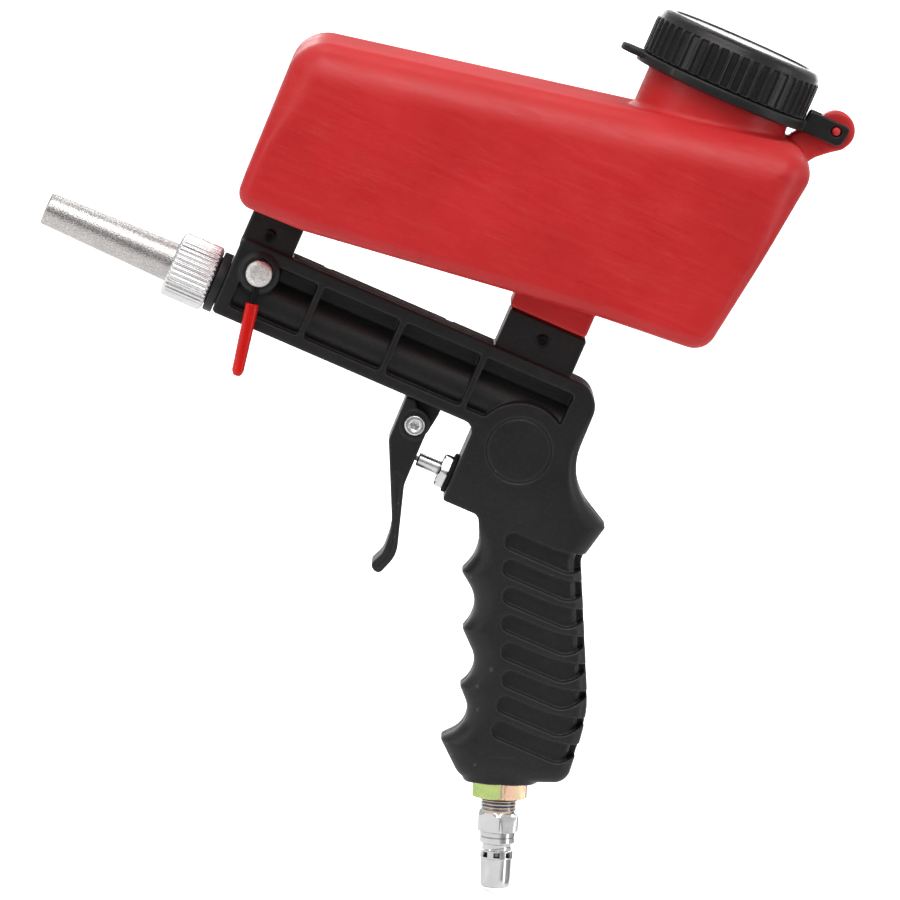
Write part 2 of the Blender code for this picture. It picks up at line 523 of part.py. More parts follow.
def build_trigger(parent, black, steel):
    axis = make_empty("trigger_axis", parent, PIVOT_X, 0, PIVOT_Z)

    def local(corners):
        return rounded([(x - PIVOT_X, z - PIVOT_Z, radius) for x, z, radius in corners])

    outline = local([(74.2, -9.6, 0.8), (74.3, -13.5, 20), (74.5, -26.2, 3), (87.9, -54.0, 22),
                     (88.5, -63.6, 8), (85.9, -69.2, 1.9), (90.0, -71.6, 2.0), (93.3, -62.4, 11),
                     (85.8, -38.5, 9), (85.6, -17.4, 1), (86.0, -11.8, 5), (79, -11.8, 1), (77.6, -9.6, 0.6)])
    trigger = finish_object("trigger", prism(outline, -TRIGGER_HALF, TRIGGER_HALF), axis, black)
    edge = trigger.modifiers.new("edge_round", "BEVEL")
    edge.width = 0.7 * MM
    edge.segments = 1
    edge.limit_method = "ANGLE"
    edge.angle_limit = math.radians(60)
    lug_room = local([(76.3, -5, 0), (76.3, -23.2, 4), (95, -23.2, 0), (95, -5, 0)])
    cut(trigger, "trigger_lug_room", prism(lug_room, -LUG_HALF - 0.4, LUG_HALF + 0.4))
    channel = local([(83.6, -37.5, 1.5), (90.9, -55.0, 12), (91.6, -63.0, 3), (99, -60, 0), (97, -37.5, 0)])
    cut(trigger, "trigger_channel", prism(channel, -6.4, 6.4))
    pivot_hole = turned([(-20, PIVOT_R + GAP), (20, PIVOT_R + GAP)], 16)
    cut(trigger, "trigger_pivot_hole", pivot_hole, rotation=ALONG_Y)
    head = TRIGGER_HALF + GAP
    bolt = [(-head - 1.2, 1.7), (-head - 2.2, 1.7), (-head - 2.2, 3.3), (-head - 1.8, 3.6), (-head, 3.6),
            (-head, PIVOT_R), (6.0, PIVOT_R), (6.0, 1.5), (9.0, 1.5)]
    finish_object("trigger_pivot_bolt", turned(bolt, 16), axis, steel, rotation=ALONG_Y)
    nut = [(head, 1.8), (head, 3.6), (head + 1.8, 3.6), (head + 2.2, 3.2), (head + 2.2, 1.8)]
    finish_object("trigger_pivot_nut", turned(nut, 16, True), axis, steel, rotation=ALONG_Y)


# ---------------------------------------------------------------- air valve

def build_air_valve(parent, brass, steel, rubber):
    room = make_empty("air_valve_frame", parent, 0, 0, STEM_Z)
    shell = [(98.7, 3.8), (98.7, 4.5), (102.9, 4.5), (102.9, 8.0), (CHAMBER_BACK, 8.0), (CHAMBER_BACK, 6.5),
             (113.5, 6.5), (113.5, 3.7), (112.0, 3.7), (112.0, 5.4), (105.4, 5.4), (105.4, 2.8), (104.0, 2.8),
             (104.0, 3.8)]
    body = finish_object("valve_body", turned(shell, 18, True), room, brass, rotation=ALONG_X)
    cut(body, "valve_body_outlet", turned([(2, 3.0), (12, 3.0)], 14), (108, 0, 0))
    cut(body, "valve_body_inlet", turned([(4, 3.6), (14, 3.6)], 14), (123.8, 0, 0),
        (0, math.pi - INLET_TILT, 0))
    stem_axis = make_empty("valve_stem_axis", room, 0, 0, 0)
    stem = [(STEM_TIP, 0.5), (86.1, 0.9), (86.9, 0.9), (86.9, 2.2), (87.2, STEM_R), (110.5, STEM_R),
            (110.5, 2.0), (118.0, 2.0), (118.0, 4.6), (119.0, 4.6), (119.0, 2.4), (122.4, 2.4), (122.8, 2.0)]
    finish_object("valve_stem", turned(stem, 12), stem_axis, steel, rotation=ALONG_X)
    poppet = [(113.8, 2.3), (113.8, 5.4), (117.7, 5.4), (117.7, 2.3)]
    finish_object("poppet_seal", turned(poppet, 14, True), stem_axis, rubber, rotation=ALONG_X)
    nut = [(95.0, 2.8), (95.0, 5.6), (95.4, None), (98.2, None), (98.2, 3.5), (100.9, 3.5), (100.9, 2.8)]
    finish_object("gland_nut", hexed(nut, GLAND_HEX, turn=math.pi / 2), room, steel, rotation=ALONG_X)
    washer = [(98.45, 4.8), (98.45, 7.2), (99.9, 7.2), (99.9, 4.8)]
    finish_object("gland_washer", turned(washer, 20, True), room, rubber, rotation=ALONG_X)
    seal = [(101.2, 2.8), (101.2, 3.5), (103.7, 3.5), (103.7, 2.8)]
    finish_object("stem_seal", turned(seal, 16, True), room, rubber, rotation=ALONG_X)
    rear = [(132.6, 3.8), (130.2, 3.8), (130.2, 6.2), (135.6, 6.2), (135.6, 2.5), (134.0, 2.5)]
    finish_object("valve_rear_plug", turned(rear, 14), room, brass, rotation=ALONG_X)
    build_spring(room, steel)


def build_spring(parent, steel):
    """Coil spring between the stem's collar and the rear plug."""
    turns, steps, sides = 5, 10, 5
    rings = []
    for i in range(turns * steps + 1):
        angle = 2 * math.pi * i / steps
        along = SPRING_FRONT + (SPRING_BACK - SPRING_FRONT) * i / (turns * steps)
        out = Vector((math.cos(angle), math.sin(angle), 0))
        centre = out * SPRING_R + Vector((0, 0, along))
        rings.append([centre + out * (SPRING_WIRE_R * math.cos(2 * math.pi * k / sides))
                      + Vector((0, 0, SPRING_WIRE_R * math.sin(2 * math.pi * k / sides)))
                      for k in range(sides)])
    finish_object("valve_spring", stack_rings(rings), parent, steel, rotation=ALONG_X)


# ---------------------------------------------------------------- inlet

def build_inlet(parent, aluminium, chromate, chrome, rubber):
    """Pieces turned about the inlet's leaning axis; distances run down and out of the grip."""
    lean = make_empty("inlet_axis", parent, INLET_X, 0, INLET_Z, (0, math.pi - INLET_TILT, 0))
    tube = [(-INLET_TUBE_LENGTH, INLET_TUBE_BORE), (-INLET_TUBE_LENGTH, INLET_TUBE_R), (-5.2, INLET_TUBE_R),
            (-5.2, INLET_TUBE_BORE)]
    finish_object("inlet_tube", turned(tube, 16, True), lean, aluminium)
    adapter = [(-14.0, 6.4), (-14.0, 8.5), (-0.6, 8.5), (-0.6, 9.3), (0.2, None), (6.2, None), (6.7, 9.3),
               (6.7, 6.5), (-2.0, 6.5), (-2.0, 4.2), (-4.8, 4.2), (-4.8, 6.4)]
    finish_object("inlet_adapter", hexed(adapter, ADAPTER_HEX), lean, chromate)
    seal = [(-1.7, 4.4), (-1.7, 6.2), (-0.7, 6.2), (-0.7, 4.4)]
    finish_object("inlet_seal", turned(seal, 14, True), lean, rubber)
    plug = [(-0.4, AIR_PLUG_BORE), (-0.4, 6.1), (10.9, 6.1), (13.1, None), (18.2, None), (19.0, 6.1),
            (22.7, 6.1), (23.5, 5.0), (25.4, 5.0), (25.7, 5.8), (28.4, 5.8), (28.7, 5.35), (37.9, 5.1),
            (AIR_PLUG_END, AIR_PLUG_TIP_R), (AIR_PLUG_END, AIR_PLUG_BORE)]
    finish_object("air_plug", hexed(plug, AIR_PLUG_HEX), lean, chrome)


# ---------------------------------------------------------------- assembly

def main():
    clear_scene()
    black = make_material("black_plastic", (0.022, 0.022, 0.023), 0.45, 0.0)
    red = make_material("red_hopper_plastic", (0.56, 0.03, 0.035), 0.38, 0.0)
    vinyl = make_material("red_vinyl", (0.72, 0.012, 0.012), 0.35, 0.0)
    rubber = make_material("black_rubber", (0.02, 0.02, 0.02), 0.8, 0.0)
    nozzle_steel = make_material("nozzle_steel", (0.56, 0.52, 0.46), 0.42, 1.0)
    bright = make_material("bright_aluminium", (0.86, 0.86, 0.86), 0.28, 1.0)
    zinc = make_material("zinc_steel", (0.62, 0.62, 0.61), 0.3, 1.0)
    dark_steel = make_material("black_steel", (0.05, 0.05, 0.05), 0.4, 1.0)
    brass = make_material("valve_brass", (0.72, 0.52, 0.24), 0.3, 1.0)
    chromate = make_material("yellow_chromate", (0.66, 0.6, 0.3), 0.3, 1.0)
    chrome = make_material("chrome", (0.8, 0.81, 0.82), 0.12, 1.0)

    frame = make_empty("gun_frame", None, -X_MIDDLE, 0, -Z_BOTTOM)
    build_body_half("body_left", -1, frame, black)
    build_body_half("body_right", 1, frame, black)
    build_screws(frame, zinc)
    build_nozzle_end(frame, nozzle_steel, bright, black, rubber)
    build_feed_valve(frame, zinc, dark_steel, vinyl, rubber)
    build_hopper(frame, red)
    build_hopper_fixings(frame, dark_steel, rubber)
    build_lid(frame, black, rubber)
    build_trigger(frame, black, zinc)
    build_air_valve(frame, brass, zinc, rubber)
    build_inlet(frame, bright, chromate, chrome, rubber)


main()
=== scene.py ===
"""The sand blasting gun's finished look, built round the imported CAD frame.

Lengths in this script are millimetres in the gun's frame, as in the part's source: X runs back along the
barrel from the body's front face, Z = 0 is the nozzle's axis and Y = 0 the middle plane.  to_row() turns
them into the frame's metres.
"""
import copy
import json
import math

import bmesh
import bpy
import numpy as np
from mathutils import Matrix, Vector


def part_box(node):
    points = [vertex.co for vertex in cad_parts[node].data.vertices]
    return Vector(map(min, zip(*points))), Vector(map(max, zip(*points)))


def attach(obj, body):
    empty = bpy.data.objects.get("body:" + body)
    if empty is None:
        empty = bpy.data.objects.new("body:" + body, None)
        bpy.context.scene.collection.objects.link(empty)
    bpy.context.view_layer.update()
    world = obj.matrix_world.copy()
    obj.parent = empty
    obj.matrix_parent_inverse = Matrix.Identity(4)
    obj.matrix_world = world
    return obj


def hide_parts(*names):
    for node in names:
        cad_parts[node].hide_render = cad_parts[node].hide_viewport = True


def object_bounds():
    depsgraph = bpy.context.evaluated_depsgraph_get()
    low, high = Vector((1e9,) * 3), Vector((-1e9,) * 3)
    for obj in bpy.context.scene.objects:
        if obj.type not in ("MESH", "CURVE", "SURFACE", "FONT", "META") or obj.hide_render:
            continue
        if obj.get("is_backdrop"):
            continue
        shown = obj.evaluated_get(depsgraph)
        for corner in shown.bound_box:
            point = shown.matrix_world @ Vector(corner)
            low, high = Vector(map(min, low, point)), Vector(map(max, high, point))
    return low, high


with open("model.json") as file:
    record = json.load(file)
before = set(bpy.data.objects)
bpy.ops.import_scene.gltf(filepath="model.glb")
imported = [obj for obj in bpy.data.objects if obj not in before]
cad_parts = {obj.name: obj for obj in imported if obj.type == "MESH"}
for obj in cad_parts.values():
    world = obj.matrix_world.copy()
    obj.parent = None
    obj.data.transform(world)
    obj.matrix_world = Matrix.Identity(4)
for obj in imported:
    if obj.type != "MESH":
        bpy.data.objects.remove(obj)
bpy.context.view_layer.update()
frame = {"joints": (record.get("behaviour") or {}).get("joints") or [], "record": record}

MM = 0.001
JOINTS = {joint["name"]: joint for joint in frame["joints"]}

# ---------------------------------------------------------------- where the gun sits in the frame

NUT_BACK = -3.7                                    # the nozzle nut's rear face
AXIS_HEIGHT = JOINTS["nozzle_nut_turn"]["pos_m"][2]
ORIGIN = Vector((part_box("nozzle_nut")[1].x - NUT_BACK * MM, 0.0, AXIS_HEIGHT))


def joint_place(name):
    """(x, z) of a joint's axis in the gun's frame."""
    x, _, z = JOINTS[name]["pos_m"]
    return (x - ORIGIN.x) / MM, (z - ORIGIN.z) / MM


PIVOT_X, PIVOT_Z = joint_place("trigger_pull")
VALVE_X, VALVE_Z = joint_place("feed_valve_turn")
HINGE_X, HINGE_Z = joint_place("lid_hinge")
NECK_X = joint_place("cap_turn")[0]

HALF_WIDTH, SPLIT = 12.5, 0.12
BODY_TOP, BODY_BOTTOM = 19.0, -9.2
BARREL_BORE, BLOCK_BACK = 7.4, 26.0
RISER_X, BEND_R, AIR_WAY_R = 108.0, 9.0, 4.6
FEED_BORE, PLUG_BORE = 3.6, 4.6
STEM_Z, CHAMBER_BACK = -29.2, 136.0
INLET_X, INLET_Z, INLET_TILT = 158.5, -121.3, math.radians(20.7)
LEVER_TILT = math.radians(11)
BODY_SCREWS = [(31.7, 16.4), (78.0, 16.4), (131.4, 6.0), (146.5, -34.0), (121.6, -57.2),
               (138.4, -93.4), (170.3, -112.4)]
HOPPER_SCREWS = [(8.3, 23.0), (109.8, 27.0)]
NECK_R, NECK_TOP, WALL = 26.3, 142.0, 2.5
HOPPER_HALF, TANK_FRONT, TANK_TOP, TOP_SLOPE = 44.0, -9.2, 92.1, math.radians(11.0)
BADGE_X, BADGE_Z, BADGE_R, PAD_R = 117.5, -11.2, 11.3, 16.7
POCKET_LOW, POCKET_TOP, POCKET_FLOOR, BARREL_SKIN_R = -5.1, 14.4, 4.2, 9.9
SLOT_STARTS = (125.5, 128.5, 132.5, 136.0, 140.0, 144.0, 146.0, 148.0)
SLOT_TOP, SLOT_PITCH, SLOT_HEIGHT, SLOT_DEPTH, SPINE_HALF = -44.4, 9, 6.2, 2.8, 1.6
ADAPTER_HEX, PLUG_HEX, GLAND_HEX = 19.0, 14.0, 12.0
CORNER_FORWARD = math.pi / 6                       # turns a hexagon's corner towards the front
NUT_RIBS, CAP_RIBS = 40, 48
CAP_POLISHED = 149.0                               # height above which the cap's top is polished

BODY_OF = {node: body for body, nodes in frame["record"]["behaviour"]["bodies"].items() for node in nodes}


# ---------------------------------------------------------------- solid shapes as distance fields

def round_and(a, b, radius):
    """Intersection of two fields with the edge rounded over."""
    return np.minimum(-radius, np.maximum(a, b)) + np.hypot(np.maximum(a + radius, 0),
                                                            np.maximum(b + radius, 0))


def round_or(a, b, radius):
    """Union of two fields with a fillet in the corner."""
    return np.maximum(radius, np.minimum(a, b)) - np.hypot(np.maximum(radius - a, 0),
                                                           np.maximum(radius - b, 0))


def round_cut(a, b, radius):
    return round_and(a, -b, radius)


class Grid:
    """A box of sample points, with x, y and z as arrays that broadcast together."""

    def __init__(self, low, high, step):
        self.low = np.array(low, np.float32)
        self.step = step
        counts = [int(math.ceil((h - l) / step)) + 1 for l, h in zip(low, high)]
        axes = [self.low[i] + step * np.arange(counts[i], dtype=np.float32) for i in range(3)]
        self.x = axes[0][:, None, None]
        self.y = axes[1][None, :, None]
        self.z = axes[2][None, None, :]

    def polygon(self, points):
        """Distance to a closed XZ outline, negative inside."""
        x, z = self.x, self.z
        best = np.full((x.shape[0], 1, z.shape[2]), 1e9, np.float32)
        inside = np.zeros(best.shape, bool)
        for i in range(len(points)):
            (ax, az), (bx, bz) = points[i - 1], points[i]
            ex, ez = bx - ax, bz - az
            length = ex * ex + ez * ez
            if length < 1e-9:
                continue
            t = np.clip(((x - ax) * ex + (z - az) * ez) / length, 0, 1)
            best = np.minimum(best, (x - ax - t * ex) ** 2 + (z - az - t * ez) ** 2)
            crosses = (az > z) != (bz > z)
            if ez:
                inside ^= crosses & (x < ax + (z - az) * ex / ez)
        return np.where(inside, -1, 1) * np.sqrt(best)

    def slab(self, points, half_width, radius, middle=0.0):
        """An XZ outline given thickness across Y, its rims rounded."""
        return round_and(self.polygon(points), np.abs(self.y - middle) - half_width, radius)

    def box(self, low, high, radius=0.0):
        parts = []
        for axis, a, b in zip((self.x, self.y, self.z), low, high):
            parts.append(np.abs(axis - (a + b) / 2) - (b - a) / 2 + radius)
        outside = np.sqrt(sum(np.maximum(p, 0) ** 2 for p in parts))
        return outside + np.minimum(np.maximum(np.maximum(parts[0], parts[1]), parts[2]), 0) - radius

    def rod_y(self, x, z, radius, low, high, edge=0.0):
        """A round rod along Y."""
        across = np.hypot(self.x - x, self.z - z) - radius
        along = np.abs(self.y - (low + high) / 2) - (high - low) / 2
        return round_and(across, along, edge)

    def rod(self, start, end, radius):
        """A flat-ended rod between two XZ points on the middle plane."""
        length = math.hypot(end[0] - start[0], end[1] - start[1])
        ux, uz = (end[0] - start[0]) / length, (end[1] - start[1]) / length
        along = (self.x - start[0]) * ux + (self.z - start[1]) * uz
        side = (self.x - start[0]) * uz - (self.z - start[1]) * ux
        return round_and(np.hypot(side, self.y) - radius, np.abs(along - length / 2) - length / 2, 0.0)


def surface_net(field, low, step):
    """Vertices and quads of a field's zero surface, one vertex in each cell that it crosses."""
    field = field.astype(np.float32)
    inside = field < 0
    nx, ny, nz = field.shape
    total = np.zeros((nx - 1, ny - 1, nz - 1), np.int8)
    corners = [(i, j, k) for i in (0, 1) for j in (0, 1) for k in (0, 1)]
    for i, j, k in corners:
        total += inside[i:nx - 1 + i, j:ny - 1 + j, k:nz - 1 + k]
    cells = np.argwhere((total > 0) & (total < 8))
    number = np.full(total.shape, -1, np.int64)
    number[tuple(cells.T)] = np.arange(len(cells))
    place = np.zeros((len(cells), 3))
    hits = np.zeros(len(cells))
    value = {c: field[cells[:, 0] + c[0], cells[:, 1] + c[1], cells[:, 2] + c[2]] for c in corners}
    for a in corners:
        for axis in range(3):
            if a[axis]:
                continue
            b = tuple(1 if n == axis else a[n] for n in range(3))
            fa, fb = value[a], value[b]
            crossed = (fa < 0) != (fb < 0)
            share = np.where(crossed, fa / np.where(crossed, fa - fb, 1), 0)
            for n in range(3):
                place[:, n] += np.where(crossed, a[n] + (share if n == axis else 0), 0)
            hits += crossed
    place /= hits[:, None]
    vertices = np.array(low) + step * (cells + place)
    quads = []
    for axis in range(3):
        first = [slice(1, -1)] * 3
        first[axis] = slice(0, -1)
        second = list(first)
        second[axis] = slice(1, None)
        fa, fb = inside[tuple(first)], inside[tuple(second)]
        edges = np.argwhere(fa != fb)
        rising = fa[tuple(edges.T)]
        base = edges + 1
        base[:, axis] -= 1
        p, q = (axis + 1) % 3, (axis + 2) % 3
        ring = []
        for dp, dq in ((-1, -1), (0, -1), (0, 0), (-1, 0)):
            at = base.copy()
            at[:, p] += dp
            at[:, q] += dq
            ring.append(number[tuple(at.T)])
        quad = np.stack(ring, 1)
        quad[~rising] = quad[~rising][:, ::-1]
        quads.append(quad)
    return vertices, np.concatenate(quads)


def to_row(points):
    return np.asarray(points, float) * MM + np.array(ORIGIN)


def mesh_piece(name, vertices, faces):
    """An object at the frame's origin from gun-frame vertices in millimetres."""
    mesh = bpy.data.meshes.new(name)
    mesh.from_pydata(to_row(vertices).tolist(), [], faces)
    mesh.validate()
    mesh.shade_smooth()
    made = bpy.data.objects.new(name, mesh)
    bpy.context.scene.collection.objects.link(made)
    return made


def apply_modifiers(piece):
    depsgraph = bpy.context.evaluated_depsgraph_get()
    mesh = bpy.data.meshes.new_from_object(piece.evaluated_get(depsgraph))
    piece.modifiers.clear()
    piece.data = mesh


def field_piece(name, field, grid, keep):
    """A piece from a distance field, thinned to a share of its faces, flat places first."""
    vertices, quads = surface_net(field, grid.low, grid.step)
    made = mesh_piece(name, vertices, [tuple(quad) for quad in quads.tolist()])
    thin = made.modifiers.new("thin", "DECIMATE")
    thin.ratio = keep
    apply_modifiers(made)
    made.data.shade_smooth()
    return made


def rounded(corners, degrees_per_step=6):
    """Outline points of a polygon whose corners (x, z, radius) are rounded with true arcs."""
    points = []
    count = len(corners)
    for i, (x, z, radius) in enumerate(corners):
        here = Vector((x, z))
        before = (Vector(corners[i - 1][:2]) - here).normalized()
        after = (Vector(corners[(i + 1) % count][:2]) - here).normalized()
        between = before.angle(after)
        if radius <= 0 or between > math.radians(179):
            points.append((x, z))
            continue
        centre = here + (before + after).normalized() * (radius / math.sin(between / 2))
        start = here + before * (radius / math.tan(between / 2)) - centre
        turn = math.pi - between
        if before.x * after.y - before.y * after.x > 0:
            turn = -turn
        steps = max(1, round(math.degrees(abs(turn)) / degrees_per_step))
        for k in range(steps + 1):
            angle = turn * k / steps
            points.append((centre.x + start.x * math.cos(angle) - start.y * math.sin(angle),
                           centre.y + start.x * math.sin(angle) + start.y * math.cos(angle)))
    return points


def rectangle(x_low, x_high, z_low, z_high, radius=0.0):
    return rounded([(x_low, z_low, radius), (x_high, z_low, radius), (x_high, z_high, radius),
                    (x_low, z_high, radius)])


def along_inlet(distance):
    return (INLET_X + distance * math.sin(INLET_TILT), INLET_Z - distance * math.cos(INLET_TILT))


def finish_piece(piece, node, look):
    """Dress a piece and let it stand for a CAD node, on that node's body."""
    piece.data.materials.clear()
    piece.data.materials.append(FINISH[look])
    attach(piece, BODY_OF[node])
    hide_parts(node)


def step_size(fine):
    return fine


def smooth_step(value, low, high):
    t = np.clip((value - low) / (high - low), 0, 1)
    return t * t * (3 - 2 * t)


# ---------------------------------------------------------------- body halves

def body_outline():
    return rounded([
        (0, BODY_TOP, 1.5), (0, BODY_BOTTOM, 1.5), (100, BODY_BOTTOM, 4), (100, -37.8, 1),
        (113.6, -37.8, 3), (119.5, -49.8, 14), (116.4, -58.8, 0.8), (127.9, -67.2, 12),
        (124.7, -77.2, 0.8), (136.4, -87.9, 10), (131.9, -96.1, 0.8), (141.7, -105.7, 9),
        (132.9, -115.8, 1.2), (145.8, -126.8, 8), (179.9, -112.6, 6), (177.4, -87.6, 50),
        (153.2, -38.5, 5), (156.4, -24.4, 0.8), (137.2, -14.0, 22), (136.2, BODY_TOP, 9)])


def finger_slot(grid, x_left, z_low):
    """One long groove across the grip, lifting towards the back strap."""
    back = 153.5 + 0.36 * (-44.0 - z_low)
    low = z_low + 0.10 * np.maximum(grid.x - back + 4.5, 0) ** 2
    top = z_low + SLOT_HEIGHT
    high = top + 0.010 * np.maximum(grid.x - back + 15, 0) ** 2
    lifted = copy.copy(grid)
    lifted.z = z_low + SLOT_HEIGHT * (grid.z - low) / np.maximum(high - low, 2.5)
    return lifted.polygon(rounded([(x_left, z_low, 3.0), (200, z_low, 0), (200, top, 0),
                                   (x_left, top, 3.0)]))


def body_shell(grid, side):
    """Outer form of one half: barrel, grip, pockets and slots."""
    v = grid.y * side
    outline = grid.polygon(body_outline())
    low = smooth_step(-grid.z, 37, 54)
    behind = smooth_step(grid.x + 0.25 * grid.z, 124, 140)
    edge = 1.0 + (1 - low) * 5.2 * behind * smooth_step(-grid.z, -16, 14) + low * (7.2 - 3.2 * behind)
    shell = round_and(outline, v - HALF_WIDTH, edge)
    skin = shell
    floor = POCKET_FLOOR - v
    for x_low, x_high in ((5.0, 30.6), (32.8, 61.6), (63.8, 92.3)):
        pocket = round_and(grid.polygon(rectangle(x_low, x_high, POCKET_LOW, POCKET_TOP, 1.4)), floor, 0.5)
        shell = round_cut(shell, pocket, 0.45)
    last = grid.polygon(rounded([(94.5, POCKET_LOW, 1), (126.9, POCKET_LOW, 0), (127.6, POCKET_TOP, 1.6),
                                 (94.5, POCKET_TOP, 1)]))
    from_pad = np.hypot(grid.x - BADGE_X, grid.z - BADGE_Z)
    pad = from_pad - PAD_R
    shell = round_cut(shell, round_and(round_and(last, -pad, 0.9), floor, 0.5), 0.45)
    barrel = round_and(np.hypot(v, grid.z) - BARREL_SKIN_R, np.abs(grid.x - 65.5) - 63.5, 0.5)
    shell = round_or(shell, np.maximum(barrel, -skin - 30), 0.5)
    badge = np.abs(from_pad - BADGE_R) - 0.45
    shell = round_cut(shell, np.maximum(badge, HALF_WIDTH - 0.45 - v), 0.2)
    for index, x_left in enumerate(SLOT_STARTS):
        slot = finger_slot(grid, x_left, SLOT_TOP - SLOT_PITCH * index)
        slot = round_and(slot, -(skin + SLOT_DEPTH), 0.5)
        shell = round_cut(shell, round_and(slot, SPINE_HALF - v, 0.4), 0.3)
    ledge = np.maximum(np.abs(v - 6.4) - 0.45, BODY_TOP - 0.7 - grid.z)
    return round_cut(shell, np.maximum(ledge, np.abs(grid.x - 65) - 63), 0.2)


def body_additions(grid, shell):
    front = grid.box((-0.3, -9.8, 15.6), (18.4, 9.8, 30.8), 0.9)
    rear = grid.box((95.2, -9.8, 15.6), (124.0, 9.8, 33.2), 0.9)
    shell = round_or(round_or(shell, front, 0.6), rear, 0.6)
    lug = rounded([(76.6, -6, 0), (76.6, -22.5, 4.6), (85.6, -22.5, 4.6), (87.2, -12, 1), (87.2, -6, 0)])
    shell = round_or(shell, grid.slab(lug, 4.5, 0.4), 0.8)
    seat = np.maximum(grid.rod(along_inlet(-8), along_inlet(0.9), 12.9), np.abs(grid.y) - 12.0)
    shell = round_or(shell, seat, 2.0)
    boss = grid.rod_y(VALVE_X, VALVE_Z, 7.2, -13.3, 13.3, 0.4)
    boss = round_or(boss, grid.rod_y(VALVE_X, VALVE_Z, 6.2, -13.9, 13.9, 0.3), 0.2)
    return round_or(shell, boss, 0.3)


def body_cavities(grid, shell, side):
    """Room for everything held between the halves."""
    rooms = [grid.rod((-5, 0), (BLOCK_BACK + 0.4, 0), BARREL_BORE + 0.35),
             grid.rod((BLOCK_BACK, 0), (RISER_X - BEND_R, 0), AIR_WAY_R),
             grid.rod((RISER_X, -24), (RISER_X, -BEND_R), AIR_WAY_R),
             grid.rod((102.5, STEM_Z), (CHAMBER_BACK + 0.4, STEM_Z), 8.4),
             grid.rod((95, STEM_Z), (104, STEM_Z), 5.0),
             grid.rod(along_inlet(-92), along_inlet(-15), 6.5),
             grid.rod(along_inlet(-15.2), along_inlet(6), 9.0),
             grid.rod(along_inlet(-0.9), along_inlet(14), 11.4),
             grid.rod((VALVE_X, 8), (VALVE_X, 26), FEED_BORE),
             grid.rod_y(VALVE_X, VALVE_Z, PLUG_BORE, -20, 20),
             grid.box((1.9, -7.9, 19.7), (16.4, 7.9, 45), 0.8),
             grid.box((97.0, -7.9, 20.4), (121.6, 7.9, 55), 0.8),
             grid.rod_y(PIVOT_X, PIVOT_Z, 2.3, -10, 10)]
    ring = np.hypot(np.hypot(grid.x - RISER_X + BEND_R, grid.z + BEND_R) - BEND_R, grid.y) - AIR_WAY_R
    corner = np.maximum(RISER_X - BEND_R - 0.5 - grid.x, -BEND_R - 0.5 - grid.z)
    rooms.append(np.maximum(ring, corner))
    for x, z in BODY_SCREWS:
        rooms.append(grid.rod_y(x, z, 1.6, -9, 20))
        if side > 0:
            rooms.append(grid.rod_y(x, z, 2.4, 9.4, 20))
    if side < 0:
        for x, z in HOPPER_SCREWS:
            rooms.append(grid.rod_y(x, z, 1.7, -14, -6))
    for room in rooms:
        shell = round_cut(shell, room, 0.25)
    return shell


def build_body(name, side):
    y_low, y_high = sorted((side * -0.6, side * 15.0))
    grid = Grid((-2.5, y_low, -129), (182, y_high, 35), step_size(0.45))
    shell = body_additions(grid, body_shell(grid, side))
    shell = round_and(shell, SPLIT - grid.y * side, 0.3)
    shell = body_cavities(grid, shell, side)
    finish_piece(field_piece(name + "_moulding", shell, grid, 0.3), name, "body")


# ---------------------------------------------------------------- hopper

def hopper_form(grid):
    """The tank alone: its side view with a broad round-over at the top and tighter ones below."""
    side_view = grid.polygon(rounded([
        (TANK_FRONT, TANK_TOP, 13), (-8.0, 31.2, 6), (18, 31.7, 0), (123, 45.0, 0), (161.0, 48.0, 8),
        (166.6, 86, 0), (172.6, TANK_TOP + 181.8 * math.tan(TOP_SLOPE), 10)]))
    below_top = (TANK_TOP + (grid.x - TANK_FRONT) * math.tan(TOP_SLOPE) - grid.z) * math.cos(TOP_SLOPE)
    edge = 5.5 + 8.5 * smooth_step(-below_top, -44, -10)
    bulge = 0.45 * np.clip(-side_view / 30, 0, 1)
    return round_and(side_view, np.abs(grid.y) - HOPPER_HALF + 0.45 - bulge, edge)


def build_hopper():
    grid = Grid((-12, -47, 18), (184, 47, 145), step_size(0.8))
    tank = hopper_form(grid)
    from_neck = np.hypot(grid.x - NECK_X, grid.y)
    rim = round_and(from_neck - NECK_R, grid.z - NECK_TOP, 0.8)
    tank = round_or(tank, np.maximum(rim, 90 - grid.z), 2.4)
    inside = round_and(tank + WALL, np.maximum(25 - grid.z, grid.z - 150), 0.1)
    bore = round_and(from_neck - (NECK_R - 3), np.abs(grid.z - 130) - 30, 0.1)
    inside = round_or(inside, bore, 1.5)
    whole = round_or(tank, grid.box((94.4, -9.6, 33.6), (123.2, 9.6, 52), 1.0), 1.6)
    whole = np.minimum(whole, grid.box((2.3, -7.5, 21.6), (16.0, 7.5, 40), 0.8))
    whole = np.minimum(whole, grid.box((97.4, -7.5, 20.9), (121.2, 7.5, 45), 0.8))
    eye = grid.rod_y(HINGE_X, HINGE_Z, 6.8, -4, 4, 0.8)
    web = rounded([(HINGE_X + 5.0, HINGE_Z - 4.6, 0), (HINGE_X - 8.2, HINGE_Z - 1, 0), (160.6, 127.6, 2),
                   (156, 118, 0), (167, 117, 0), (171.6, 123.2, 2)])
    whole = round_or(whole, round_or(eye, grid.slab(web, 3.6, 0.8), 1.0), 1.4)
    whole = round_or(whole, grid.rod_y(HINGE_X, HINGE_Z, 1.5, -8.4, 8.4, 0.4), 0.3)
    whole = round_cut(whole, inside, 0.6)
    outlet = np.maximum(np.hypot(grid.x - VALVE_X, grid.y) - FEED_BORE, grid.z - 45)
    whole = round_cut(whole, outlet, 0.4)
    for x, z in HOPPER_SCREWS:
        whole = np.maximum(whole, -grid.rod_y(x, z, 1.6, -12, -3.9))
    finish_piece(field_piece("hopper_tank", whole, grid, 0.35), "hopper", "red")


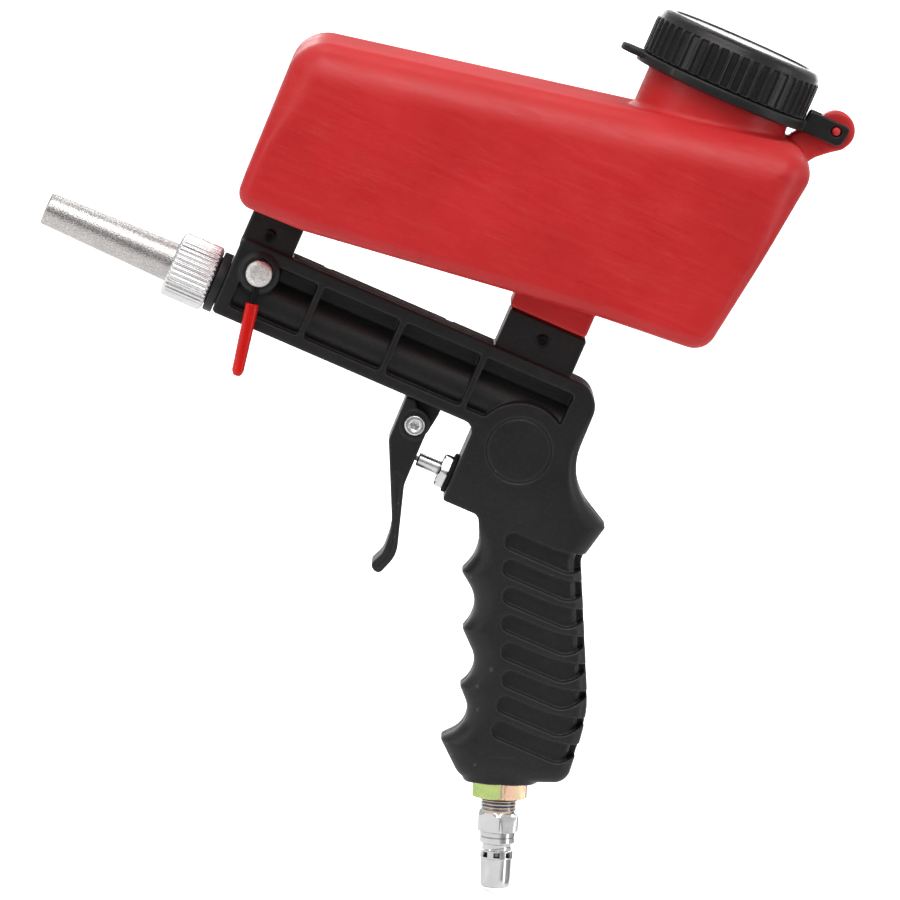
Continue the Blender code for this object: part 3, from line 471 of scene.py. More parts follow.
# ---------------------------------------------------------------- turned pieces

ALONG_X = Matrix(((0, 0, 1), (1, 0, 0), (0, 1, 0)))       # columns: where local x, y and the axis point
ALONG_Y = Matrix(((0, 1, 0), (0, 0, 1), (1, 0, 0)))
ALONG_Z = Matrix.Identity(3)
ALONG_INLET = Matrix(((0, math.cos(INLET_TILT), math.sin(INLET_TILT)), (1, 0, 0),
                      (0, math.sin(INLET_TILT), -math.cos(INLET_TILT))))
SHARP_ANGLE = 28                                   # degrees between faces from which an edge stays sharp


def lathe(name, profile, basis, centre=(0, 0, 0), sides=96, shape=None, sharp_angle=SHARP_ANGLE):
    """Turn (along, radius) points about an axis; shape(along, radius, angle) may change the radius.

    A profile that starts on the axis makes a solid, and any other one closes on itself as a ring.
    """
    vertices, rings = [], []
    for along, radius in profile:
        if radius < 1e-6:
            rings.append([len(vertices)])
            vertices.append((0.0, 0.0, along))
            continue
        ring = []
        for i in range(sides):
            angle = 2 * math.pi * i / sides
            r = shape(along, radius, angle) if shape else radius
            ring.append(len(vertices))
            vertices.append((r * math.cos(angle), r * math.sin(angle), along))
        rings.append(ring)
    faces = []
    pairs = list(zip(rings, rings[1:]))
    if profile[0][1] > 0:
        pairs.append((rings[-1], rings[0]))
    for low, high in pairs:
        for i in range(sides):
            j = (i + 1) % sides
            if len(low) == 1 and len(high) == 1:
                continue
            if len(low) == 1:
                faces.append((low[0], high[j], high[i]))
            elif len(high) == 1:
                faces.append((low[i], low[j], high[0]))
            else:
                faces.append((low[i], low[j], high[j], high[i]))
    turned = np.array(vertices) @ np.array(basis).T + np.array(centre)
    made = mesh_piece(name, turned, faces)
    tidy_normals(made)
    made.data.shade_smooth()
    made.data.set_sharp_from_angle(angle=math.radians(sharp_angle))
    return made


def tidy_normals(piece):
    cleaned = bmesh.new()
    cleaned.from_mesh(piece.data)
    bmesh.ops.remove_doubles(cleaned, verts=cleaned.verts, dist=1e-7)
    bmesh.ops.recalc_face_normals(cleaned, faces=cleaned.faces)
    cleaned.to_mesh(piece.data)
    cleaned.free()


def carve(piece, *cutters):
    """Cut closed cutters out of a piece, then delete them."""
    for cutter in cutters:
        step = piece.modifiers.new("cut", "BOOLEAN")
        step.operation = "DIFFERENCE"
        step.object = cutter
        step.solver = "EXACT"
    apply_modifiers(piece)
    for cutter in cutters:
        bpy.data.objects.remove(cutter, do_unlink=True)
    piece.data.shade_smooth()
    piece.data.set_sharp_from_angle(angle=math.radians(SHARP_ANGLE))


def drill(reach, radius, basis, centre, sides):
    """A plain round cutter, reach long each way."""
    return lathe("drill", [(-reach, 0), (-reach, radius), (reach, radius),
                           (reach, 0)], basis, centre, sides)


def profile_of(*corners):
    """A profile's (along, radius, corner radius) points with its corners rounded in coarse arcs."""
    return rounded(corners, 15)


def hexagon(across_flats, turn, softness):
    """Radius of a six-sided bar at an angle, its corners slightly eased."""
    def radius(angle):
        nearest = (angle - turn + math.pi / 6) % (math.pi / 3) - math.pi / 6
        return min(across_flats / 2 / math.cos(nearest), across_flats / math.sqrt(3) - softness)
    return radius


def hex_bar(across_flats, low, high):
    """A shape() that draws a six-sided bar from low to high, its ends chamfered by the given radius."""
    bar = hexagon(across_flats, CORNER_FORWARD, 0.25)
    bore_limit = across_flats / 2 - 1.5

    def shape(along, radius, angle):
        return min(radius, bar(angle)) if low <= along <= high and radius > bore_limit else radius
    return shape


def hex_socket(across_flats, reach):
    """A shape() that turns the narrow bore of a screw head into a six-sided key socket."""
    key = hexagon(across_flats, 0.0, 0.02)
    return lambda along, radius, angle: key(angle) if across_flats / 2 - 0.1 < radius < reach else radius


# ---------------------------------------------------------------- nozzle end

def knurl(along, radius, angle):
    """Straight, rounded ribs between two plain chamfers."""
    if radius < 11.3:
        return radius
    fade = min(1.0, (along + 19.0) / 0.8, (-4.0 - along) / 0.8)
    return radius - 0.55 * max(0.0, fade) * (0.5 - 0.5 * math.cos(NUT_RIBS * angle)) ** 1.5


def build_nozzle_end():
    nozzle = profile_of((-67.0, 3.0, 0.3), (-67.0, 5.8, 0.9), (-17.2, 7.15, 0), (-17.2, 8.6, 0.2),
                        (-14.2, 8.6, 0.2), (-14.2, 5.0, 0.2), (-22.2, 3.0, 1))
    finish_piece(lathe("nozzle_tube", nozzle, ALONG_X), "nozzle", "nozzle")
    outside = [(-19.3, 7.6), (-19.3, 10.7), (-19.1, 11.0), (-18.6, 11.55), (-18.3, 11.8)]
    outside += [(-18.3 + 13.6 * step / 24, 11.8) for step in range(1, 24)]
    outside += [(-4.7, 11.8), (-4.4, 11.55), (-3.9, 11.0), (-3.7, 10.7), (-3.7, 9.0), (-17.0, 9.0),
                (-17.0, 7.6)]
    nut = lathe("knurled_nut", outside, ALONG_X, sides=12 * NUT_RIBS, shape=knurl, sharp_angle=40)
    finish_piece(nut, "nozzle_nut", "knurled")
    block = profile_of((-12.6, 8.6, 0.3), (-3.4, 8.6, 0.2), (-3.4, 10.8, 0.5), (-0.15, 10.8, 0.2),
                       (-0.15, 7.4, 0), (26.0, 7.4, 0.3), (26.0, 5.1, 0), (-12.6, 5.1, 0))
    spigot = lathe("spigot_block", block, ALONG_X, sides=72)
    carve(spigot, drill(20, PLUG_BORE, ALONG_Y, (VALVE_X, 0, VALVE_Z), 48))
    finish_piece(spigot, "mixing_block", "black")


# ---------------------------------------------------------------- feed valve

def build_feed_valve():
    centre = (VALVE_X, 0, VALVE_Z)
    plug = profile_of((-17.2, 0, 0), (-17.1, 3.4, 2.5), (-16.1, 4.6, 0.6), (-14.1, 4.6, 0.3),
                      (-14.1, 4.3, 0), (-10.4, 4.3, 0), (-10.4, 3.1, 0), (-8.6, 3.1, 0), (-8.6, 4.3, 0),
                      (8.6, 4.3, 0), (8.6, 3.1, 0), (10.4, 3.1, 0), (10.4, 4.3, 0), (14.7, 4.3, 0),
                      (14.7, 3.4, 0), (15.9, 3.4, 0), (15.9, 4.3, 0.2), (17.0, 3.8, 0.5), (17.0, 0, 0))
    body = lathe("feed_plug", plug, ALONG_Y, centre, 64)
    lean = Matrix(((math.cos(LEVER_TILT), 0, math.sin(LEVER_TILT)), (0, 1, 0),
                   (math.sin(LEVER_TILT), 0, -math.cos(LEVER_TILT))))
    lean.col[1].negate()
    place = (VALVE_X, -15.1, VALVE_Z)
    carve(body, drill(8, 1.12, lean, place, 32), drill(8, 2.6, lean, centre, 32))
    finish_piece(body, "feed_valve_plug", "mottled")
    rod = profile_of((-5.6, 0, 0), (-5.6, 0.95, 0.45), (33.3, 0.95, 0.3), (33.3, 0, 0))
    finish_piece(lathe("lever_wire", rod, lean, place, 32), "feed_valve_lever", "dark_steel")
    sleeve = profile_of((33.7, 0, 0), (33.7, 1.2, 0), (10.6, 1.2, 0.1), (10.6, 2.42, 0.45),
                        (34.6, 2.12, 1.4), (36.4, 1.3, 1.2), (36.5, 0, 0))

    def dipped(along, radius, angle):
        if radius < 1.3:
            return radius
        return radius * (1 + 0.012 * math.sin(along * 0.9 + 0.4) + 0.01 * math.cos(2 * angle + along * 0.3))

    finish_piece(lathe("lever_grip", sleeve, lean, place, 48, shape=dipped), "lever_sleeve", "vinyl")
    washer = rounded([(14.0, 4.6, 0.1), (14.0, 6.6, 0.15), (14.6, 6.6, 0.15), (14.6, 4.6, 0.1)], 30)
    finish_piece(lathe("feed_washer", washer, ALONG_Y, centre, 64), "feed_valve_washer", "zinc")
    clip = rounded([(14.95, 3.5, 0.1), (14.95, 5.6, 0.1), (15.65, 5.6, 0.1), (15.65, 3.5, 0.1)], 30)

    def snap_ring(along, radius, angle):
        lug = max(0.0, math.cos(3 * angle)) ** 2
        return radius + 0.7 * lug if radius > 5 else radius

    ring = lathe("feed_clip", clip, ALONG_Y, centre, shape=snap_ring)
    finish_piece(ring, "feed_valve_clip", "dark_steel")


# ---------------------------------------------------------------- lid

def build_lid():
    grid = Grid((92, -33, 127), (181, 33, 140), step_size(0.35))
    radial = np.hypot(grid.x - NECK_X, grid.y)
    flange = round_and(np.abs(radial - 29.55) - 1.95, np.abs(grid.z - 131.4) - 1.8, 0.6)
    collar = round_and(np.abs(radial - 28.15) - 0.55, np.abs(grid.z - 133.5) - 4.0, 0.3)
    ring = round_or(flange, collar, 0.4)
    tab = np.maximum(grid.box((94.2, -8, 130.7),
                              (103.0, 8, 133.4)), np.hypot(grid.x - 105.8, grid.y) - 11.8)
    ring = round_or(ring, round_and(tab, np.abs(grid.z - 132.15) - 1.25, 0.4), 0.8)
    arm = rounded([(-14.0, -4.7, 0), (3.4, -4.7, 2.4), (4.6, 3.0, 1.6), (-10.4, 3.2, 1.0),
                   (-11.0, -1.2, 0.6), (-14.0, -1.2, 0)])
    arm = [(x + HINGE_X, z + HINGE_Z) for x, z in arm]
    for side in (-1, 1):
        ring = round_or(ring, grid.slab(arm, 1.6, 0.5, 6.0 * side), 0.6)
    ring = np.maximum(ring, -(radial - 27.6 + np.maximum(grid.z - 150, 0)))
    ring = round_cut(ring, grid.rod_y(HINGE_X, HINGE_Z, 1.9, -9, 9), 0.25)
    finish_piece(field_piece("lid_hoop", ring, grid, 0.4), "lid_ring", "black")

    profile = [(144.8, 0.0), (144.8, 28.9), (134.0, 29.0), (133.5, 29.2), (133.5, 29.8), (133.8, 30.3)]
    profile += [(134.2, 30.6), (134.8, 30.6), (136.4, 30.6), (139.0, 30.6), (142.0, 30.6), (144.6, 30.6),
                (145.8, 30.5), (146.5, 30.2), (146.9, 29.95)]
    profile += [(146.9 + 3.4 * math.sin(a), 26.5 + 3.4 * math.cos(a)) for a in
                (math.radians(10 * k) for k in range(2, 10))]
    profile += [(150.3, 26.2), (150.1, 25.7), (149.4, 25.5), (149.2, 25.0), (149.5, 24.8), (149.65, 24.4),
                (149.65, 9.0), (149.65, 0.0)]

    def ribbed(along, radius, angle):
        if radius < 30.35:
            return radius
        off_rib = abs((angle * CAP_RIBS / (2 * math.pi) + 0.5) % 1.0 - 0.5)
        return radius - 0.8 * min(1.0, max(0.0, (off_rib - 0.14) / 0.09))

    cap = lathe("ribbed_cap", profile, ALONG_Z, (NECK_X, 0, 0), 12 * CAP_RIBS, shape=ribbed, sharp_angle=30)
    finish_piece(cap, "screw_cap", "cap")


# ---------------------------------------------------------------- trigger

def build_trigger():
    grid = Grid((72.5, -10, -73), (95, 10, -8), step_size(0.32))
    outline = rounded([(74.2, -9.6, 0.8), (74.3, -13.5, 20), (74.5, -26.2, 3), (87.9, -54.0, 22),
                       (88.5, -63.6, 8), (85.9, -69.2, 1.9), (90.0, -71.6, 2.0), (93.3, -62.4, 11),
                       (85.8, -38.5, 9), (85.6, -17.4, 1), (86.0, -11.8, 5), (79, -11.8, 1),
                       (77.6, -9.6, 0.6)])
    flat = grid.polygon(outline)
    blade = round_and(flat, np.abs(grid.y) - 9.0, 0.7)
    panel = np.maximum(np.maximum(flat + 1.5, grid.z + 36), 8.65 - np.abs(grid.y))
    blade = round_cut(blade, panel, 0.25)
    head = grid.rod_y(PIVOT_X, PIVOT_Z, 5.3, -9.35, 9.35, 0.5)
    blade = round_or(blade, round_and(head, flat + 0.4, 0.2), 0.4)
    room = rounded([(76.3, -5, 0), (76.3, -23.2, 4), (95, -23.2, 0), (95, -5, 0)])
    blade = round_cut(blade, grid.slab(room, 4.9, 0.8), 0.5)
    channel = rounded([(83.6, -37.5, 1.5), (90.9, -55.0, 12), (91.6, -63.0, 3), (99, -60, 0),
                       (97, -37.5, 0)])
    blade = round_cut(blade, grid.slab(channel, 6.4, 1.0), 0.5)
    blade = round_cut(blade, grid.rod_y(PIVOT_X, PIVOT_Z, 2.3, -20, 20), 0.2)
    finish_piece(field_piece("trigger_blade", blade, grid, 0.45), "trigger", "black")
    centre = (PIVOT_X, 0, PIVOT_Z)
    bolt = profile_of((-8.6, 0, 0), (-9.2, 1.5, 0), (-10.9, 1.5, 0), (-11.2, 2.15, 0.2), (-11.5, 2.4, 0.2),
                      (-11.5, 3.3, 0.6), (-10.9, 3.6, 0.2), (-9.45, 3.6, 0.1), (-9.45, 2.0, 0),
                      (6.0, 2.0, 0), (6.0, 1.5, 0), (9.0, 1.5, 0.2), (9.0, 0, 0))
    bolt_piece = lathe("pivot_bolt", bolt, ALONG_Y, centre, shape=hex_socket(3.0, 1.6))
    finish_piece(bolt_piece, "trigger_pivot_bolt", "zinc")
    nut = rounded([(9.45, 1.8, 0.1), (9.45, 3.6, 0.2), (11.2, 3.6, 0.5), (11.5, 3.0, 0.3),
                   (11.5, 1.8, 0.2)], 20)
    finish_piece(lathe("pivot_nut", nut, ALONG_Y, centre, 64), "trigger_pivot_nut", "zinc")


# ---------------------------------------------------------------- air valve and inlet

def build_air_valve():
    centre = (0, 0, STEM_Z)
    stem = profile_of((85.9, 0, 0), (85.9, 0.9, 0.35), (86.9, 0.9, 0.1), (86.9, 2.5, 0.45), (110.5, 2.5, 0),
                      (110.5, 2.0, 0), (118.0, 2.0, 0), (118.0, 4.6, 0), (119.0, 4.6, 0), (119.0, 2.4, 0),
                      (122.8, 2.4, 0.3), (122.8, 0, 0))
    finish_piece(lathe("stem_rod", stem, ALONG_X, centre, 64), "valve_stem", "zinc")
    nut = [(95.0, 2.8), (95.0, 5.6), (95.25, 6.1), (95.6, 6.95), (97.9, 6.95), (98.2, 6.5), (98.2, 3.5),
           (100.9, 3.5), (100.9, 2.8)]
    nut_piece = lathe("gland_hexagon", nut, ALONG_X, centre, 144, shape=hex_bar(GLAND_HEX, 94, 99))
    finish_piece(nut_piece, "gland_nut", "zinc")
    washer = rounded([(98.45, 4.8, 0.2), (98.45, 7.2, 0.4), (99.95, 7.2, 0.4), (99.95, 4.8, 0.2)], 20)
    finish_piece(lathe("gland_ring", washer, ALONG_X, centre, 72), "gland_washer", "rubber")


def build_inlet():
    centre = (INLET_X, 0, INLET_Z)
    adapter = [(-14.0, 6.4), (-14.0, 8.2), (-13.7, 8.5), (-0.6, 8.5), (-0.6, 9.3), (-0.3, 9.9),
               (0.2, 10.97), (5.8, 10.97), (6.3, 10.1), (6.7, 9.3), (6.7, 6.6), (-2.0, 6.5), (-2.0, 4.2),
               (-4.8, 4.2), (-4.8, 6.4)]
    adapter_bar = hex_bar(ADAPTER_HEX, -0.7, 6.8)
    adapter_piece = lathe("adapter_hexagon", adapter, ALONG_INLET, centre, 144, shape=adapter_bar)
    finish_piece(adapter_piece, "inlet_adapter", "chromate")
    thread = [(-0.4, 3.4), (-0.4, 6.0), (6.6, 6.0)]
    thread += [(6.6 + 0.12 * k, 6.15 + 0.35 * math.cos(2 * math.pi * k / 10)) for k in range(1, 35)]
    hexed = [(10.9, 5.9), (11.2, 6.4), (12.1, 7.1), (13.0, 7.9), (13.2, 7.95), (18.1, 7.95), (18.7, 7.35),
             (19.0, 6.35)]
    barrel = [(19.2, 6.1), (20.6, 6.1), (20.75, 5.85), (20.95, 5.85), (21.1, 6.1), (22.7, 6.1),
              (23.1, 5.85), (23.5, 5.2), (23.9, 5.0), (25.1, 5.0), (25.5, 5.2)]
    ring = [(25.7, 5.65), (25.85, 5.8), (26.1, 5.8), (26.15, 5.8), (27.95, 5.8), (28.0, 5.8), (28.4, 5.8),
            (28.6, 5.6), (28.7, 5.4)]
    nose = [(29.3, 5.35), (35.8, 5.2), (37.9, 5.1), (38.5, 4.9), (38.8, 4.55), (38.9, 4.2), (38.9, 3.6),
            (38.7, 3.4), (20.0, 3.4)]
    bar = hex_bar(PLUG_HEX, 11.4, 19.05)

    def plug_shape(along, radius, angle):
        """Eight square notches round the nose's ring, and the hexagon."""
        if 26.12 < along < 27.98 and radius > 5.7:
            nearest = (angle + math.pi / 8) % (math.pi / 4) - math.pi / 8
            return radius - (1.6 if abs(nearest) < 0.17 else 0.0)
        return bar(along, radius, angle)

    outline = thread + hexed + barrel + ring + nose
    plug = lathe("quick_plug", outline, ALONG_INLET, centre, 192, shape=plug_shape)
    finish_piece(plug, "air_plug", "chrome")


# ---------------------------------------------------------------- screws

def cross_recess(piece, place, top, reach):
    """Carve a cross-shaped driver recess into a screw head that faces along +Y."""
    x, z = place
    cutters = []
    for turn in (0.35, 0.35 + math.pi / 2):
        long_way = Vector((math.cos(turn), 0, math.sin(turn)))
        short_way = Vector((-math.sin(turn), 0, math.cos(turn)))
        corners = []
        for y, scale in ((top + 1.0, 1.0), (top - 1.1, 0.45)):
            for a, b in ((-1, -1), (1, -1), (1, 1), (-1, 1)):
                corner = Vector((x, y, z)) + long_way * (a * reach * scale) + short_way * (b * 0.32)
                corners.append(tuple(corner))
        faces = [(0, 1, 2, 3), (7, 6, 5, 4), (0, 4, 5, 1), (1, 5, 6, 2), (2, 6, 7, 3), (3, 7, 4, 0)]
        cutter = mesh_piece("recess_cutter", corners, faces)
        tidy_normals(cutter)
        cutters.append(cutter)
    carve(piece, *cutters)


def build_screws():
    shank = profile_of((-8.6, 0, 0), (-8.6, 1.25, 0.3), (9.7, 1.25, 0), (9.7, 2.1, 0.2), (11.6, 2.1, 0.4),
                       (12.1, 1.4, 0.9), (12.1, 0, 0))
    for index, (x, z) in enumerate(BODY_SCREWS):
        screw = lathe(f"case_screw_{index + 1}", shank, ALONG_Y, (x, 0, z), 48)
        cross_recess(screw, (x, z), 12.1, 1.2)
        finish_piece(screw, f"body_screw_{index + 1}", "zinc")
    short = profile_of((-4.4, 0, 0), (-4.4, 1.3, 0.3), (-9.85, 1.3, 0), (-9.85, 2.3, 0.1),
                       (-10.3, 2.3, 0.3), (-10.6, 1.7, 0.2), (-10.6, 1.2, 0.1), (-8.4, 1.2, 0),
                       (-8.1, 0, 0))
    for name, (x, z) in zip(("hopper_screw_front", "hopper_screw_rear"), HOPPER_SCREWS):
        screw = lathe(name + "_head", short, ALONG_Y, (x, 0, z), shape=hex_socket(2.4, 1.25))
        finish_piece(screw, name, "dark_steel")


# ---------------------------------------------------------------- materials

class Shader:
    """Small builder for a procedural material's nodes."""

    def __init__(self, name):
        self.made = bpy.data.materials.new(name)
        self.made.use_nodes = True
        self.tree = self.made.node_tree
        self.surface = self.tree.nodes["Principled BSDF"]
        self.place = self.add("ShaderNodeTexCoord").outputs["Object"]

    def add(self, kind, **settings):
        node = self.tree.nodes.new(kind)
        for key, value in settings.items():
            setattr(node, key, value)
        return node

    def feed(self, socket, value):
        if isinstance(value, bpy.types.NodeSocket):
            self.tree.links.new(value, socket)
        elif isinstance(value, tuple) and len(value) == 3 and len(socket.default_value) == 4:
            socket.default_value = (*value, 1.0)
        else:
            socket.default_value = value

    def set(self, **values):
        for key, value in values.items():
            self.feed(self.surface.inputs[key.replace("_", " ")], value)

    def stretched(self, scale, turn=(0, 0, 0)):
        """Object coordinates turned, then stretched: large scale means fine detail on that axis."""
        node = self.add("ShaderNodeMapping")
        self.feed(node.inputs["Vector"], self.place)
        node.inputs["Scale"].default_value = scale
        node.inputs["Rotation"].default_value = turn
        return node.outputs["Vector"]

    def noise(self, scale, detail=2.0, roughness=0.5, vector=None, distortion=0.0):
        node = self.add("ShaderNodeTexNoise")
        self.feed(node.inputs["Vector"], vector or self.place)
        node.inputs["Scale"].default_value = scale
        node.inputs["Detail"].default_value = detail
        node.inputs["Roughness"].default_value = roughness
        node.inputs["Distortion"].default_value = distortion
        return node.outputs["Fac"]

    def ramp(self, value, *stops):
        """Colour or grey stops as (position, colour) pairs."""
        node = self.add("ShaderNodeValToRGB")
        self.feed(node.inputs["Fac"], value)
        ramp = node.color_ramp
        while len(ramp.elements) < len(stops):
            ramp.elements.new(0.5)
        for element, (position, colour) in zip(ramp.elements, stops):
            element.position = position
            element.color = (*(colour if isinstance(colour, tuple) else [colour] * 3), 1.0)
        return node.outputs["Color"]

    def math(self, operation, *values):
        node = self.add("ShaderNodeMath", operation=operation)
        for socket, value in zip(node.inputs, values):
            self.feed(socket, value)
        return node.outputs["Value"]

    def vector(self, operation, *values):
        node = self.add("ShaderNodeVectorMath", operation=operation)
        for socket, value in zip(node.inputs, values):
            self.feed(socket, value)
        return node.outputs["Value" if operation == "LENGTH" else "Vector"]

    def split(self, vector, axis):
        node = self.add("ShaderNodeSeparateXYZ")
        self.feed(node.inputs["Vector"], vector)
        return node.outputs[axis]

    def mix(self, share, a, b, blend="MIX"):
        node = self.add("ShaderNodeMix", data_type="RGBA", blend_type=blend)
        self.feed(node.inputs["Factor"], share)
        self.feed(node.inputs[6], a)
        self.feed(node.inputs[7], b)
        return node.outputs[2]

    def facing_up(self, low, high):
        """From 0 to 1 as the surface turns level."""
        normal = self.add("ShaderNodeNewGeometry").outputs["Normal"]
        return self.ramp(self.split(normal, "Z"), (low, 0.0), (high, 1.0))

    def edges(self, low, high):
        """A painted highlight mask: bright where the surface turns sharply outwards."""
        node = self.add("ShaderNodeNewGeometry")
        return self.ramp(node.outputs["Pointiness"], (low, 0.0), (high, 1.0))

    def bump(self, height, strength, distance, after=None):
        node = self.add("ShaderNodeBump")
        self.feed(node.inputs["Height"], height)
        node.inputs["Strength"].default_value = strength
        node.inputs["Distance"].default_value = distance
        if after:
            self.feed(node.inputs["Normal"], after)
        return node.outputs["Normal"]


def black_nylon(name, base, texture, gloss, badge=None, polished_above=None):
    """Dark moulded nylon: fine spark texture, uneven gloss, dust, and a painted grey highlight on its sharp
    outward edges.
    """
    s = Shader(name)
    bloom = s.noise(55.0, 4.0, 0.6)
    tone = s.mix(1.0, base, s.ramp(bloom, (0.3, 0.86), (0.75, 1.18)), "MULTIPLY")
    dust = s.math("MULTIPLY", s.ramp(s.noise(900.0, 3.0, 0.7), (0.52, 0.0), (0.72, 1.0)), 0.07)
    tone = s.mix(dust, tone, (0.11, 0.11, 0.112))
    # Painted highlight: sharp outward edges are lightened towards grey.
    tone = s.mix(s.math("MULTIPLY", s.edges(0.515, 0.6), 0.28), tone, (0.13, 0.13, 0.13))
    rough = s.math("MULTIPLY_ADD", bloom, 0.22, gloss - 0.11)
    if polished_above:
        above = s.math("MULTIPLY", s.math("SUBTRACT", s.split(s.place, "Z"), polished_above), 400.0)
        rough = s.mix(s.ramp(above, (0.2, 0.0), (0.8, 1.0)), rough, (0.10, 0.10, 0.10))
    else:
        rough = s.mix(s.facing_up(0.75, 0.97), rough, (0.9, 0.9, 0.9))
    # Painted shade: a thin dark line in the colour along the badge's ring groove.
    if badge:
        across = s.vector("MULTIPLY", s.vector("SUBTRACT", s.place, badge), (1.0, 0.0, 1.0))
        off_ring = s.math("ABSOLUTE", s.math("SUBTRACT", s.vector("LENGTH", across), BADGE_R * MM))
        ring_groove_shade = s.ramp(s.math("MULTIPLY", off_ring, 1000.0), (0.12, 1.0), (0.42, 0.0))
        tone = s.mix(s.math("MULTIPLY", ring_groove_shade, 0.75), tone, (0.002, 0.002, 0.002))
    grain = s.bump(s.noise(texture, 2.0, 0.5), 0.22, 0.0003)
    wave = s.bump(s.noise(38.0, 1.0), 0.12, 0.0012, grain)
    s.set(Base_Color=tone, Roughness=rough, Normal=wave, IOR=1.5, Specular_IOR_Level=0.36)
    return s.made


def red_polyethylene():
    """Blow-moulded tank plastic: waxy, faintly mottled, scuffed along its length, duller on top."""
    s = Shader("red_hopper_plastic")
    tone = s.ramp(s.noise(22.0, 5.0, 0.55), (0.26, (0.53, 0.011, 0.013)),
                  (0.52, (0.62, 0.017, 0.019)), (0.78, (0.70, 0.026, 0.029)))
    streak = s.noise(1.0, 4.0, 0.6, s.stretched((26.0, 60.0, 190.0), (0, math.radians(9), 0)), 0.6)
    scuffs = s.math("MULTIPLY", s.ramp(streak, (0.56, 0.0), (0.78, 1.0)), 0.10)
    tone = s.mix(scuffs, tone, (0.70, 0.07, 0.07))
    rubs = s.noise(1.0, 5.0, 0.65, s.stretched((48.0, 150.0, 620.0), (0, math.radians(-4), 0)), 0.9)
    pale = s.math("MULTIPLY", s.ramp(rubs, (0.57, 0.0), (0.70, 1.0)), 0.11)
    dark = s.math("MULTIPLY", s.ramp(rubs, (0.30, 1.0), (0.43, 0.0)), 0.14)
    tone = s.mix(dark, s.mix(pale, tone, (0.80, 0.10, 0.11)), (0.36, 0.006, 0.008))
    # Painted highlight: sharp outward edges are lightened towards pink.
    tone = s.mix(s.math("MULTIPLY", s.edges(0.52, 0.62), 0.3), tone, (0.72, 0.13, 0.13))
    rough = s.math("MULTIPLY_ADD", s.noise(70.0, 4.0, 0.6), 0.3, 0.26)
    rough = s.mix(1.0, rough, s.ramp(rubs, (0.35, 0.85), (0.65, 1.25)), "MULTIPLY")
    rough = s.mix(s.facing_up(0.80, 0.98), rough, (0.85, 0.85, 0.85))
    dimple = s.bump(s.noise(1500.0, 2.0, 0.5), 0.10, 0.0003)
    wave = s.bump(s.noise(16.0, 2.0), 0.25, 0.0025, dimple)
    s.set(Base_Color=tone, Roughness=rough, Normal=wave, IOR=1.5, Specular_IOR_Level=0.44,
          Subsurface_Weight=0.06, Subsurface_Radius=(0.004, 0.001, 0.001), Subsurface_Scale=0.4)
    return s.made


def metal(name, tone, rough, spread, grain, grain_scale=700.0, speckle=None, crevice_shade=0.0):
    """Bare or plated metal: cloudy tone, uneven polish and grain, with optional speckle and painted shade
    in its crevices.
    """
    s = Shader(name)
    cloud = s.noise(160.0, 4.0, 0.6)
    colour = s.mix(1.0, tone, s.ramp(cloud, (0.25, 0.88), (0.75, 1.08)), "MULTIPLY")
    if speckle:
        dot_scale, dot_share, dot_tone = speckle
        dots = s.ramp(s.noise(dot_scale, 3.0, 0.7), (0.42, 1.0), (0.60, 0.0))
        colour = s.mix(s.math("MULTIPLY", dots, dot_share), colour, dot_tone)
    # Painted shade: ambient occlusion darkens the colour in recesses, notches and sockets.
    if crevice_shade:
        open_sky = s.add("ShaderNodeAmbientOcclusion", samples=8)
        open_sky.inputs["Distance"].default_value = 1.6 * MM
        painted_shade_share = s.ramp(open_sky.outputs["AO"], (0.45, 1.0), (0.78, 0.0))
        colour = s.mix(s.math("MULTIPLY", painted_shade_share, crevice_shade), colour, (0.012, 0.012, 0.012))
    polish = s.math("MULTIPLY_ADD", cloud, spread, rough - spread / 2)
    s.set(Base_Color=colour, Metallic=1.0, Roughness=polish,
          Normal=s.bump(s.noise(grain_scale, 3.0, 0.6), grain, 0.0003))
    return s.made


def chromate_film():
    """Yellow chromate over zinc: the thin film drifts at random between straw, green and rose, and each
    flat face is also tinted by which way it faces along X, a painted reflection.
    """
    s = Shader("yellow_chromate")
    # Painted reflection: faces turned forward lean green and faces turned back lean rose.
    painted_facet_sheen = s.split(s.add("ShaderNodeTexCoord").outputs["Normal"], "X")
    drift_and_facet_sheen = s.math("MULTIPLY_ADD", painted_facet_sheen, 0.5, s.noise(140.0, 3.0, 0.5, distortion=0.8))
    colour = s.ramp(drift_and_facet_sheen, (0.16, (0.46, 0.66, 0.22)), (0.38, (0.62, 0.72, 0.26)),
                    (0.56, (0.90, 0.76, 0.46)), (0.80, (0.95, 0.60, 0.44)))
    polish = s.math("MULTIPLY_ADD", s.noise(300.0, 3.0, 0.6), 0.2, 0.18)
    s.set(Base_Color=colour, Metallic=1.0, Roughness=polish,
          Normal=s.bump(s.noise(900.0, 2.0), 0.08, 0.0002))
    return s.made


def soft_plastic(name, tone, rough, grain_scale, grain, coat=0.0):
    """Soft vinyl or rubber with a faint grain."""
    s = Shader(name)
    colour = s.mix(1.0, tone, s.ramp(s.noise(90.0, 4.0, 0.6), (0.3, 0.86), (0.7, 1.08)), "MULTIPLY")
    polish = s.math("MULTIPLY_ADD", s.noise(130.0, 3.0, 0.6), 0.16, rough - 0.08)
    s.set(Base_Color=colour, Roughness=polish, Coat_Weight=coat, Specular_IOR_Level=0.22,
          Normal=s.bump(s.noise(grain_scale, 2.0), grain, 0.0003))
    return s.made


